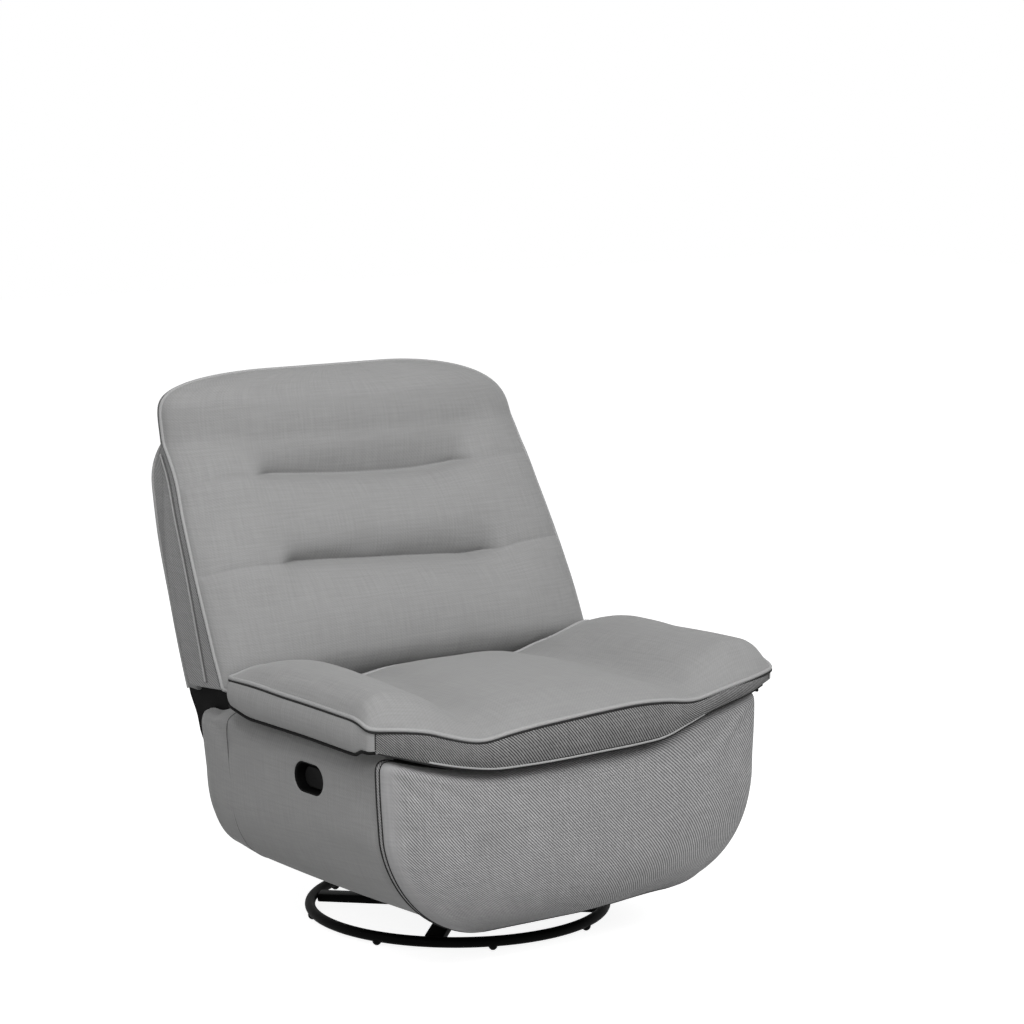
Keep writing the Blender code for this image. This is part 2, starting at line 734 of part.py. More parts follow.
# Coil springs between the swivel plate and the rails
coil_low = PLATE_TOP_Z + GAP + SPRING_WIRE
coil_high = RAIL_Z - GAP - SPRING_WIRE
pitch = (coil_high - coil_low) / SPRING_TURNS
print("rock spring gap between curls, mm: %.2f" % ((pitch - 2 * SPRING_WIRE) * 1000))
coil_number = 0
for rail_f in (FRONT_RAIL_F, REAR_RAIL_F):
    for sign in (1, -1):
        coil_number += 1
        coil = []
        for step in range(SPRING_TURNS * SPRING_POINTS + 1):
            turn = 2 * math.pi * step / SPRING_POINTS
            coil.append((sign * SPRING_X + SPRING_RADIUS * math.cos(turn),
                         rail_f + SPRING_RADIUS * math.sin(turn),
                         coil_low + pitch * step / SPRING_POINTS))
        adopt(tube("rock_spring_%d" % coil_number, coil, SPRING_WIRE, 1), SPRING_STEEL, TURNTABLE)


def pin_cutter(name, at, x_from, x_to, radius, sides=16):
    """Round pin along X, used to grow a pin on a link."""
    return cutter(rod(name, (x_from, *at), (x_to, *at), radius, sides))


def grow_pin(obj, at, sign, x_from, x_to, headed, radius=PIN_RADIUS, head=PIN_HEAD_RADIUS):
    """Give a link its own pin, with a head when there is room for one."""
    name = obj.name + "_pin_%d" % len(obj.modifiers)
    boolean(obj, pin_cutter(name, at, sign * x_from, sign * x_to, radius), "UNION")
    if headed:
        outer = x_to + PIN_HEAD_THICK
        boolean(obj, pin_cutter(name + "_head", at, sign * (x_to - 1e-4), sign * outer, head), "UNION")


# Mechanism plates
mech_outline = [
    (MECH_REAR_F, MECH_BOTTOM_Z),
    (MECH_TOE_F, MECH_BOTTOM_Z),
    (MECH_KNEE_F, MECH_KNEE_Z),
    (CRANK_PIVOT_F + MECH_NOSE, MECH_NOSE_Z),
    (CRANK_PIVOT_F + MECH_NOSE, MECH_TOP_Z),
    (RECLINE_F + 1.5 * MECH_EAR_RADIUS, MECH_TOP_Z),
]
for step in range(9):
    mech_outline.append(tuple(RECLINE_P + MECH_EAR_RADIUS * unit(45 + 25 * step)))
pin_space = PIN_RADIUS + GAP
mech_loops = [
    mech_outline,
    circle(CRANK_A, pin_space),
    circle(REAR_A, pin_space),
    circle(RECLINE_P, BRACKET_PIN_RADIUS + GAP),
    stadium((MECH_WINDOW_F, MECH_WINDOW_Z), MECH_WINDOW_LENGTH, MECH_WINDOW_HEIGHT),
    stadium((MECH_WINDOW_F, MECH_SLOT_Z), MECH_SLOT_LENGTH, MECH_SLOT_HEIGHT),
]
mech_outer = MECH_X + MECH_THICK + LINK_GAP

front_crank_outline = stroke([CRANK_A, CRANK_B], LINK_HALF_WIDTH)
rear_crank_outline = stroke([REAR_A, REAR_B], LINK_HALF_WIDTH)
carrier_outline = stroke([REAR_B, FOOT_C], LINK_HALF_WIDTH)
drag_outline = stroke([CRANK_H, FOOT_D], LINK_HALF_WIDTH)
bracket_edge_f = REST_BOARD_F - GAP
flange_outline = [
    (bracket_edge_f, FOOT_C[1] - FLANGE_TOE),
    (bracket_edge_f, FOOT_D[1] + FLANGE_HEAD),
]
for step in range(4):
    flange_outline.append(tuple(FOOT_D + FLANGE_EYE * unit(80 + 30 * step)))
for step in range(5):
    flange_outline.append(tuple(FOOT_C + FLANGE_EYE * unit(150 + 30 * step)))

elbow = (BRACKET_ELBOW_F, BACK_BOTTOM_Z - BRACKET_ELBOW_DROP)
bracket_top = (BRACKET_TOP_F, BRACKET_TOP_Z)
bracket_outline = stroke([RECLINE_P, elbow, bracket_top], BRACKET_HALF_WIDTH)
slot_outline = stroke([RECLINE_P, elbow, bracket_top], BRACKET_HALF_WIDTH + 2 * GAP)
bracket_slots = []

for side, sign in (("left", 1), ("right", -1)):
    mech = sheet("side_plate_" + side, mech_loops, sign * MECH_X, sign * (MECH_X + MECH_THICK), "X")
    adopt(mech, STEEL, BODY)

    crank_span = (sign * CRANK_X, sign * (CRANK_X + LINK_THICK))
    crank = sheet("front_crank_" + side,
                  [front_crank_outline, circle(CRANK_B, pin_space), circle(CRANK_H, pin_space)],
                  *crank_span, "X")
    grow_pin(crank, CRANK_A, sign, CRANK_X + LINK_THICK / 2, mech_outer, True)
    adopt(crank, STEEL, FRONT_CRANKS)

    crank = sheet("rear_crank_" + side, [rear_crank_outline, circle(REAR_B, pin_space)], *crank_span, "X")
    grow_pin(crank, REAR_A, sign, CRANK_X + LINK_THICK / 2, mech_outer, True)
    adopt(crank, STEEL, REAR_CRANKS)

    arm_span = (sign * ARM_X, sign * (ARM_X + LINK_THICK))
    pin_reach = CRANK_X + LINK_THICK - GAP
    arm = sheet("carrier_arm_" + side, [carrier_outline, circle(FOOT_C, pin_space)], *arm_span, "X")
    grow_pin(arm, CRANK_B, sign, ARM_X + LINK_THICK / 2, pin_reach, False)
    grow_pin(arm, REAR_B, sign, ARM_X + LINK_THICK / 2, pin_reach, False)
    adopt(arm, STEEL, CARRIERS)

    link = sheet("drag_link_" + side, [drag_outline, circle(FOOT_D, pin_space)], *arm_span, "X")
    grow_pin(link, CRANK_H, sign, ARM_X + LINK_THICK / 2, pin_reach, False)
    adopt(link, STEEL, DRAGS)

    flange = sheet("footrest_bracket_" + side, [flange_outline],
                   sign * FLANGE_X, sign * (FLANGE_X + LINK_THICK), "X")
    foot_low = FOOT_C[1] - FLANGE_TOE
    foot_high = FOOT_D[1] + FLANGE_HEAD
    inner_x = FLANGE_X - FLANGE_WEB
    web_low = (min(sign * inner_x, sign * (FLANGE_X + LINK_THICK / 2)), bracket_edge_f - LINK_THICK, foot_low)
    web_high = (max(sign * inner_x, sign * (FLANGE_X + LINK_THICK / 2)), bracket_edge_f, foot_high)
    boolean(flange, cutter(solid_box("bracket_web_" + side, web_low, web_high)), "UNION")
    grow_pin(flange, FOOT_C, sign, FLANGE_X + LINK_THICK / 2, ARM_X + LINK_THICK - GAP, False)
    grow_pin(flange, FOOT_D, sign, FLANGE_X + LINK_THICK / 2, ARM_X + LINK_THICK - GAP, False)
    adopt(flange, STEEL, FOOT)

    bracket = sheet("back_bracket_" + side, [bracket_outline], *crank_span, "X")
    grow_pin(bracket, RECLINE_P, sign, CRANK_X + LINK_THICK / 2, mech_outer, True, BRACKET_PIN_RADIUS, 0.011)
    adopt(bracket, STEEL, BACK)
    slot = sheet("bracket_slot_" + side, [slot_outline],
                 sign * (CRANK_X - GAP), sign * (CRANK_X + LINK_THICK + GAP), "X")
    bracket_slots.append(cutter(slot))

tube_at = CRANK_A + CRANK_TUBE_AT * CRANK_DIR
tube_half = CRANK_X - GAP
adopt(rod("crank_tube", (-tube_half, *tube_at), (tube_half, *tube_at), CRANK_TUBE_RADIUS), STEEL, FRONT_CRANKS)

# Wooden seat frame and sinuous springs
for side, sign in (("left", 1), ("right", -1)):
    edges_x = sorted((sign * BOARD_INNER_X, sign * (PANEL_INNER_X - GAP)))
    board = solid_box("seat_board_" + side,
                      (edges_x[0], BOARD_REAR_F, BOARD_Z),
                      (edges_x[1], BOARD_FRONT_F, SEAT_FRAME_TOP_Z))
    adopt(board, WOOD, BODY)
rail_half = BOARD_INNER_X - GAP
rail_low_z = SEAT_FRAME_TOP_Z - SEAT_RAIL_HEIGHT
adopt(solid_box("seat_rail_front",
                (-rail_half, BOARD_FRONT_F - SEAT_RAIL_WIDTH, rail_low_z),
                (rail_half, BOARD_FRONT_F, SEAT_FRAME_TOP_Z)), WOOD, BODY)
adopt(solid_box("seat_rail_rear",
                (-rail_half, BOARD_REAR_F, rail_low_z),
                (rail_half, BOARD_REAR_F + SEAT_RAIL_WIDTH, SEAT_FRAME_TOP_Z)), WOOD, BODY)

wire_z = SEAT_FRAME_TOP_Z + GAP + SEAT_WIRE
wire_start = BOARD_REAR_F + SEAT_RAIL_WIDTH * 0.4
wire_end = BOARD_FRONT_F - SEAT_RAIL_WIDTH * 0.4
for index in range(SEAT_SPRING_COUNT):
    wire_x = SEAT_SPRING_SPACING * (index - (SEAT_SPRING_COUNT - 1) / 2)
    wave = []
    steps = SEAT_SPRING_WAVES * 6
    for step in range(steps + 1):
        swing = SEAT_SPRING_SWING * math.sin(2 * math.pi * SEAT_SPRING_WAVES * step / steps)
        wave.append((wire_x + swing, mix(wire_start, wire_end, step / steps), wire_z))
    adopt(tube("seat_spring_%d" % (index + 1), wave, SEAT_WIRE, 1), SPRING_STEEL, BODY)

# Curved upholstered sides
def tub_profile(turn_deg, inset, power=TUB_POWER):
    """Point (half width, z) of the tub's lower curve, inset from its outside."""
    turn = math.radians(turn_deg)
    x = TUB_FLAT_HALF + (TUB_HALF_WIDTH - TUB_FLAT_HALF - inset) * math.cos(turn) ** (2.0 / power)
    z = TUB_TURN_Z - (TUB_TURN_Z - TUB_BOTTOM_Z - inset) * math.sin(turn) ** (2.0 / power)
    return x, z


def tub_half_width(z):
    """Half width of the tub's outside at a height."""
    drop = min(1.0, max(0.0, (TUB_TURN_Z - z) / (TUB_TURN_Z - TUB_BOTTOM_Z)))
    return TUB_FLAT_HALF + (TUB_HALF_WIDTH - TUB_FLAT_HALF) * (1.0 - drop ** TUB_POWER) ** (1.0 / TUB_POWER)


def corner_cut(distance, radius):
    """How far a round corner stands back at a distance from its end."""
    left_over = max(0.0, radius - distance)
    return radius - math.sqrt(radius ** 2 - left_over ** 2)


def side_panel_place(sign):
    """Formula for one side panel: a runs rearwards to front, b up, c outwards."""
    straight = TUB_TOP_Z - TUB_TURN_Z
    curve_length = 0.225
    whole = straight + curve_length

    def place(a, b, c):
        down = (1.0 - b) / 2.0 * whole
        inset = PANEL_THICK * (1.0 - c) / 2.0
        if down <= straight:
            x = TUB_HALF_WIDTH - inset
            z = TUB_TOP_Z - down
        else:
            power = mix(PANEL_REAR_POWER, TUB_POWER, ease((a + 1.0) / 1.9))
            x, z = tub_profile((down - straight) / curve_length * PANEL_END_DEG, inset, power)
        x -= PANEL_TAPER * (1.0 - ease((a + 1.0) / 0.45)) * (c + 1.0) / 2.0
        rear = PANEL_REAR_F + PANEL_LEAN * ease(down / (0.7 * whole))
        rear += 0.7 * corner_cut(down, PANEL_CORNER) + corner_cut(whole - down, PANEL_CORNER / 3)
        f = mix(rear, PANEL_FRONT_F, (a + 1.0) / 2.0)
        return sign * x, f, z

    return place


panel_cuts_a = (-0.84, -0.45, 0.92)
panel_cuts_b = (-0.92, -0.62, -0.32, 0.0, 0.32, 0.92)
cup_x = TUB_HALF_WIDTH
for side, sign in (("left", 1), ("right", -1)):
    panel = cage("side_panel_" + side, panel_cuts_a, panel_cuts_b, (), side_panel_place(sign))
    if side == "right":
        hole = stadium((CUP_F, CUP_Z), CUP_LENGTH - 2 * CUP_RIM + 2 * GAP, CUP_HEIGHT - 2 * CUP_RIM + 2 * GAP)
        boolean(panel, cutter(sheet("cup_hole", [hole], -cup_x - 0.05, -cup_x + 0.05, "X")), "DIFFERENCE")
    adopt(panel, FABRIC, BODY)

# Release handle
body_outline = stadium((CUP_F, CUP_Z), CUP_LENGTH - 2 * CUP_RIM, CUP_HEIGHT - 2 * CUP_RIM)
pocket_length = CUP_LENGTH - 2 * CUP_RIM - 2 * CUP_WALL
pocket_height = CUP_HEIGHT - 2 * CUP_RIM - 2 * CUP_WALL
cup = sheet("handle_cup", [stadium((CUP_F, CUP_Z), CUP_LENGTH, CUP_HEIGHT)],
            -cup_x - GAP - CUP_FLANGE, -cup_x - GAP, "X")
boolean(cup, cutter(sheet("cup_body", [body_outline], -cup_x - CUP_FLANGE / 2, -cup_x + CUP_DEPTH, "X")), "UNION")
pocket = stadium((CUP_F, CUP_Z), pocket_length, pocket_height)
boolean(cup, cutter(sheet("cup_pocket", [pocket], -cup_x - 0.02, -cup_x + CUP_DEPTH - CUP_WALL, "X")), "DIFFERENCE")
adopt(cup, PLASTIC, BODY)

hinge_f = CUP_F + LEVER_HINGE_OFFSET
end_radius = pocket_height / 2
end_offset = hinge_f + LEVER_KNUCKLE - (CUP_F + pocket_length / 2 - end_radius)
knuckle_half = math.sqrt(end_radius ** 2 - end_offset ** 2) - 2 * GAP
paddle_front = hinge_f
paddle_rear = CUP_F - pocket_length / 2 + 0.014
paddle_outline = stadium(((paddle_front + paddle_rear) / 2, CUP_Z), paddle_front - paddle_rear, 2 * knuckle_half)
lever = rod("release_lever", (LEVER_X, hinge_f, CUP_Z - knuckle_half), (LEVER_X, hinge_f, CUP_Z + knuckle_half),
            LEVER_KNUCKLE, 12)
paddle = sheet("lever_paddle", [paddle_outline], LEVER_X - LEVER_THICK / 2, LEVER_X + LEVER_THICK / 2, "X")
boolean(lever, cutter(paddle), "UNION")
adopt(lever, PLASTIC, LEVER)

# Footrest panel: padded face on a board
def pad_top(x):
    """Height of the footrest's top edge, lower in the middle under the seat's nose."""
    share = (abs(x) - PAD_DIP_INNER_X) / (PAD_DIP_OUTER_X - PAD_DIP_INNER_X)
    return mix(PAD_TOP_MID_Z, PAD_TOP_SIDE_Z, ease(share))


def pad_place(a, b, c):
    """a across, b up, c towards the front."""
    up = (b + 1.0) / 2.0
    x = a * tub_half_width(mix(TUB_BOTTOM_Z, PAD_TOP_SIDE_Z, up))
    z = mix(TUB_BOTTOM_Z - 0.002, pad_top(x), up)
    crown = PAD_CROWN * (1.0 - abs(a) ** 3) * (1.0 - abs(b) ** 3)
    f = mix(PAD_REAR_F, PAD_REAR_F + PAD_EDGE + crown, (c + 1.0) / 2.0)
    return x, f, z


pad_cuts_a = (-0.95, -0.80, -0.55, 0.0, 0.55, 0.80, 0.95)
pad_cuts_b = (-0.96, -0.84, -0.55, 0.0, 0.60, 0.92)
adopt(cage("footrest_pad", pad_cuts_a, pad_cuts_b, (-0.7, 0.5), pad_place), FABRIC, FOOT)

board_top = PAD_TOP_MID_Z - REST_BOARD_THICK
rest_outline = [(TUB_HALF_WIDTH - REST_BOARD_INSET, board_top)]
for step in range(7):
    rest_outline.append(tub_profile(90 * step / 6, REST_BOARD_INSET))
rest_outline += [(-x, z) for x, z in reversed(rest_outline)]
adopt(sheet("footrest_board", [rest_outline], REST_BOARD_F, REST_BOARD_F + REST_BOARD_THICK, "Y"), WOOD, FOOT)

# Cloth flap between seat and footrest, stored in folds that hang from the front rail
flap_line = []
for fold in range(FLAP_FOLDS):
    fold_f = BOARD_FRONT_F + GAP + FLAP_THICK / 2 + fold * (FLAP_THICK + FLAP_FOLD_GAP)
    high = (fold_f, SEAT_FRAME_TOP_Z - FLAP_DROP)
    low = (fold_f, SEAT_FRAME_TOP_Z - FLAP_DROP - FLAP_HEIGHT)
    flap_line += [high, low] if fold % 2 == 0 else [low, high]
flap_outline = stroke(flap_line, FLAP_THICK / 2)
adopt(sheet("footrest_flap", [flap_outline], -FLAP_HALF_WIDTH, FLAP_HALF_WIDTH, "X"), FABRIC, BODY)

# Seat cushion with raised side lobes
# Heights across the seat, at shares of its half width
SEAT_CROSS = (
    (0.0, SEAT_MIDDLE_Z),
    (0.30, mix(SEAT_VALLEY_Z, SEAT_MIDDLE_Z, 0.83)),
    (0.50, SEAT_VALLEY_Z),
    (0.66, mix(SEAT_VALLEY_Z, SEAT_LOBE_Z, 0.53)),
    (0.84, SEAT_LOBE_Z),
    (0.94, mix(SEAT_PIPE_Z, SEAT_LOBE_Z, 0.76)),
    (1.0, SEAT_PIPE_Z),
)
SEAT_BACK_CROSS = (
    (0.0, SEAT_BACK_MIDDLE_Z),
    (0.25, mix(SEAT_BACK_VALLEY_Z, SEAT_BACK_MIDDLE_Z, 0.80)),
    (0.42, SEAT_BACK_VALLEY_Z),
    (0.60, mix(SEAT_BACK_VALLEY_Z, SEAT_BACK_LOBE_Z, 0.48)),
    (0.86, SEAT_BACK_LOBE_Z),
    (0.95, mix(SEAT_PIPE_Z, SEAT_BACK_LOBE_Z, 0.71)),
    (1.0, SEAT_PIPE_Z),
)
SEAT_FRONT_EDGE = (
    (0.0, SEAT_FRONT_MIDDLE_Z),
    (0.25, mix(SEAT_FRONT_VALLEY_Z, SEAT_FRONT_MIDDLE_Z, 0.86)),
    (0.40, mix(SEAT_FRONT_VALLEY_Z, SEAT_FRONT_MIDDLE_Z, 0.49)),
    (0.52, SEAT_FRONT_VALLEY_Z),
    (0.75, mix(SEAT_FRONT_VALLEY_Z, SEAT_FRONT_CORNER_Z, 0.58)),
    (0.875, mix(SEAT_FRONT_VALLEY_Z, SEAT_FRONT_CORNER_Z, 0.84)),
    (1.0, SEAT_FRONT_CORNER_Z),
)
SEAT_REAR_EDGE = (
    (0.0, SEAT_REAR_MIDDLE_Z),
    (0.25, mix(SEAT_REAR_VALLEY_Z, SEAT_REAR_MIDDLE_Z, 0.80)),
    (0.42, SEAT_REAR_VALLEY_Z),
    (0.60, mix(SEAT_REAR_VALLEY_Z, SEAT_REAR_LOBE_Z, 0.35)),
    (0.86, SEAT_REAR_LOBE_Z),
    (1.0, SEAT_PIPE_Z),
)


def seat_front(x):
    """Forward reach of the seat's front edge."""
    return SEAT_CORNER_F + SEAT_BULGE * (1.0 - (abs(x) / SEAT_HALF_WIDTH) ** 2.5)


def seat_rear(x):
    """Forward position of the seat's rear edge, which reaches further back between the lobes."""
    return SEAT_REAR_F - SEAT_REAR_MID * (1.0 - ease((abs(x) - SEAT_HALF_WIDTH + SEAT_REAR_STEP_IN) / SEAT_REAR_STEP_WIDTH))


def seat_top(x, f):
    """Height of the seat's top face."""
    share = abs(x) / SEAT_HALF_WIDTH
    to_front = (seat_front(x) - f) / SEAT_FRONT_ROLL
    to_rear = (f - seat_rear(x)) / SEAT_REAR_ROLL
    forward = ease((f - SEAT_BACK_F) / (SEAT_MID_F - SEAT_BACK_F))
    middle = mix(knots(share, SEAT_BACK_CROSS), knots(share, SEAT_CROSS), forward)
    height = mix(knots(share, SEAT_FRONT_EDGE), middle, min(1.0, max(0.0, to_front)) ** 0.5)
    return mix(knots(share, SEAT_REAR_EDGE), height, min(1.0, max(0.0, to_rear)) ** 0.7)


def seat_under(x, f):
    """Height of the seat's lower face: flat on the springs, stepped over the sides, low at the nose."""
    x = abs(x)
    step = (x - SEAT_HALF_WIDTH + SEAT_STEP_IN) / SEAT_STEP_WIDTH
    side = SEAT_SIDE_LOWER_Z + SEAT_REAR_RISE * (1.0 - ease((f - SEAT_REAR_F) / SEAT_REAR_RISE_RUN))
    flat = mix(SEAT_UNDER_Z, side, ease(step))
    share = (x - PAD_DIP_INNER_X) / (PAD_DIP_OUTER_X - PAD_DIP_INNER_X)
    nose = mix(SEAT_NOSE_MID_Z, SEAT_NOSE_SIDE_Z, ease(share))
    return mix(flat, nose, ease((f - SEAT_DECK_F) / SEAT_DECK_STEP))


def seat_place(a, b, c):
    """a across, b towards the front, c up."""
    x = a * SEAT_HALF_WIDTH
    if b <= SEAT_DECK_MARK:
        f = mix(seat_rear(x), SEAT_DECK_F, (b + 1.0) / (1.0 + SEAT_DECK_MARK))
    else:
        f = mix(SEAT_DECK_F, seat_front(x), (b - SEAT_DECK_MARK) / (1.0 - SEAT_DECK_MARK))
    z = mix(seat_under(x, f), seat_top(x, f), (c + 1.0) / 2.0)
    swell = SEAT_BOXING_BULGE * (1.0 - c * c)
    if abs(a) > 0.999:
        x += math.copysign(swell, a)
    if b > 0.999:
        f += swell
    return x, f, z


seat_cuts_a = (-0.96, -0.86, -0.66, -0.47, -0.25, 0.0, 0.25, 0.47, 0.66, 0.86, 0.96)
seat_cuts_b = (-0.93, -0.60, -0.10, 0.35, SEAT_DECK_MARK, 0.72, 0.85, 0.96)
adopt(cage("seat_cushion", seat_cuts_a, seat_cuts_b, (-0.2,), seat_place), FABRIC, BODY)


# Backrest: rear shell, board and channelled cushion, all on one gentle curve
def back_rear(z):
    """Forward position of the back's rear face."""
    up = z - BACK_BOTTOM_Z
    return BACK_REAR_F - (BACK_SLOPE * up - BACK_CURVE * up * up)


def corner_rows(bottom, top, corner, plain):
    """Row heights, from plain rows below and a quarter circle of rows at the top."""
    rows = [mix(bottom, top - corner, i / plain) for i in range(plain + 1)]
    rows += [top - corner + corner * math.sin(math.radians(t)) for t in (25, 50, 72, 90)]
    return rows


def rounded_half(z, half, top, corner):
    """Half width at a height, with round top corners."""
    over = max(0.0, z - (top - corner))
    return half - corner + math.sqrt(max(0.0, corner ** 2 - min(over, corner) ** 2))


def row_tools(rows):
    """Cuts between -1 and 1 and the reading from a cut back to a height."""
    marks = [mix(-1.0, 1.0, i / (len(rows) - 1)) for i in range(len(rows))]

    def height(b):
        return float(np.interp(b, marks, rows))

    return marks[1:-1], height


shell_rows = corner_rows(BACK_BOTTOM_Z, SHELL_TOP_Z, SHELL_CORNER, 4)
shell_marks, shell_height = row_tools(shell_rows)


def shell_place(a, b, c):
    """a across, b up, c towards the front."""
    z = shell_height(b)
    x = a * rounded_half(z, SHELL_HALF_WIDTH, SHELL_TOP_Z, SHELL_CORNER)
    f = back_rear(z) + SHELL_THICK * (c + 1.0) / 2.0
    return x, f, z


shell = cage("back_shell", (-0.94, -0.66, -0.3, 0.3, 0.66, 0.94), (-0.95, *shell_marks), (-0.6, 0.8), shell_place)
for slot in bracket_slots:
    boolean(shell, slot, "DIFFERENCE")
adopt(shell, FABRIC, BACK)

board_bottom = BACK_BOTTOM_Z + BACK_BOARD_INSET
board_rows = corner_rows(board_bottom, SHELL_TOP_Z - BACK_BOARD_INSET, SHELL_CORNER - 0.02, 4)
board_marks, board_height = row_tools(board_rows)


def back_board_place(a, b, c):
    """Thin board on the shell's front face."""
    z = board_height(b)
    half = SHELL_HALF_WIDTH - BACK_BOARD_INSET
    x = a * rounded_half(z, half, SHELL_TOP_Z - BACK_BOARD_INSET, SHELL_CORNER - 0.02)
    f = back_rear(z) + SHELL_THICK + LAYER_GAP + BACK_BOARD_THICK * (c + 1.0) / 2.0
    return x, f, z


adopt(cage("back_board", (), board_marks, (), back_board_place, levels=0), WOOD, BACK)

BACK_ROWS = (
    *(mix(BACK_CUSHION_BOTTOM_Z, CHANNEL_LOW_Z, share) for share in (0.0, 0.08, 0.25, 0.52, 0.80)),
    CHANNEL_LOW_Z - CHANNEL_ROW,
    CHANNEL_LOW_Z,
    CHANNEL_LOW_Z + CHANNEL_ROW,
    (CHANNEL_LOW_Z + CHANNEL_HIGH_Z) / 2,
    CHANNEL_HIGH_Z - CHANNEL_ROW,
    CHANNEL_HIGH_Z,
    CHANNEL_HIGH_Z + CHANNEL_ROW,
    *(mix(CHANNEL_HIGH_Z, BACK_CUSHION_TOP_Z, share) for share in (0.275, 0.485, 0.70, 0.86, 0.96, 1.0)),
)
back_marks, back_height = row_tools(list(BACK_ROWS))


def back_half(z):
    """Half width of the back cushion at a height: straight sides under a flat arch."""
    if z < BACK_ARCH_Z:
        share = (z - BACK_CUSHION_BOTTOM_Z) / (BACK_ARCH_Z - BACK_CUSHION_BOTTOM_Z)
        return mix(BACK_CUSHION_LOW_HALF, BACK_CUSHION_ARCH_HALF, share)
    up = min(1.0, (z - BACK_ARCH_Z) / (BACK_CUSHION_TOP_Z - BACK_ARCH_Z))
    arch = max(0.0, 1.0 - up ** BACK_ARCH_RISE) ** (1.0 / BACK_ARCH_ROUND)
    return mix(BACK_CUSHION_TOP_HALF, BACK_CUSHION_ARCH_HALF, arch)


def back_lobe(z):
    """Share of the crown at a height, down to nearly nothing at each channel and end."""
    ends = (BACK_CUSHION_BOTTOM_Z, CHANNEL_LOW_Z, CHANNEL_HIGH_Z, BACK_CUSHION_TOP_Z)
    for low, high in zip(ends, ends[1:]):
        if low <= z <= high:
            across = (2.0 * z - low - high) / (high - low)
            return math.sqrt(max(0.0, 1.0 - abs(across) ** 2.6))
    return 0.0


def back_place(a, b, c):
    """a across, b up, c towards the front."""
    z = back_height(b)
    x = a * back_half(z)
    rear = back_rear(z) + SHELL_THICK + BACK_BOARD_THICK + 2 * LAYER_GAP
    up = z - BACK_CUSHION_BOTTOM_Z
    pipe = max(PIPE_F - PIPE_SLOPE * up - PIPE_CURVE * up * up, rear + BACK_EDGE)
    if c < 0.999:
        return x, mix(rear, pipe, (c + 1.0) / 2.0), z
    rim = max(0.0, 1.0 - abs(a) ** 6) ** 0.6
    ends = min(1.0, (z - BACK_CUSHION_BOTTOM_Z) / BACK_LOW_ROLL, (BACK_CUSHION_TOP_Z - z) / BACK_HIGH_ROLL)
    tuft = 1.0 - ease((abs(x) - TUFT_HALF) / TUFT_FADE)
    crown = BACK_CROWN * rim * math.sqrt(max(0.0, ends))
    pull = (1.0 - back_lobe(z)) * mix(CHANNEL_SIDE_DEPTH, CHANNEL_DEPTH, tuft)
    if not CHANNEL_LOW_Z - CHANNEL_REACH < z < CHANNEL_HIGH_Z + CHANNEL_REACH:
        pull = 0.0
    return x, pipe + max(0.0, crown - pull), z


back_cuts_a = (-0.94, -0.76, -0.48, 0.0, 0.48, 0.76, 0.94)
adopt(cage("back_cushion", back_cuts_a, back_marks, (0.0,), back_place), FABRIC, BACK)


# Rear skirt: a hanging cloth with soft upright folds, a round top hem and a thicker lower hem
SKIRT_TOP = np.array((SKIRT_TOP_F, SKIRT_TOP_Z))
SKIRT_RUN = np.array((SKIRT_END_F, SKIRT_END_Z)) - SKIRT_TOP
SKIRT_LENGTH = float(np.linalg.norm(SKIRT_RUN))
SKIRT_DROP = SKIRT_RUN / SKIRT_LENGTH
SKIRT_OUT = np.array((SKIRT_DROP[1], -SKIRT_DROP[0]))
HEM_RADIUS = SKIRT_THICK / 2
skirt_rows = [-0.92 * HEM_RADIUS, -0.6 * HEM_RADIUS, 0.0, 3.0 * HEM_RADIUS]
skirt_rows += [SKIRT_LENGTH * share for share in (0.30, 0.52, 0.74)]
skirt_rows += [SKIRT_LENGTH - drop * HEM_RADIUS for drop in (4.0, 3.0, 0.5, 0.0)]
skirt_marks, skirt_distance = row_tools(skirt_rows)


def skirt_place(a, b, c):
    """a across, b down, c outwards to the rear."""
    down = skirt_distance(b)
    if down < 0.0:
        half = math.sqrt(HEM_RADIUS ** 2 - down ** 2)
    else:
        middle = min(ease(down / (3.0 * HEM_RADIUS)), ease((SKIRT_LENGTH - 3.0 * HEM_RADIUS - down) / HEM_RADIUS))
        half = mix(HEM_RADIUS, SKIRT_CLOTH / 2, middle)
    sway = SKIRT_FOLD * ease(down / SKIRT_LENGTH) * math.sin(math.pi * SKIRT_FOLDS * a)
    at = SKIRT_TOP + SKIRT_DROP * down + SKIRT_OUT * (sway + half * c)
    return a * SKIRT_HALF_WIDTH, at[0], at[1]


skirt_columns = SKIRT_FOLDS * 5
skirt_cuts_a = [mix(-1.0, 1.0, i / skirt_columns) for i in range(1, skirt_columns)]
adopt(cage("back_skirt", skirt_cuts_a, skirt_marks, (), skirt_place, levels=0), FABRIC, SKIRT)
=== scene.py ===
"""Looks of the swivel rocker recliner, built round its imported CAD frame, in metres.

The chair faces -Y. In the notes f is the distance forward of the swivel axis, minus Y.
"""
import json
import math

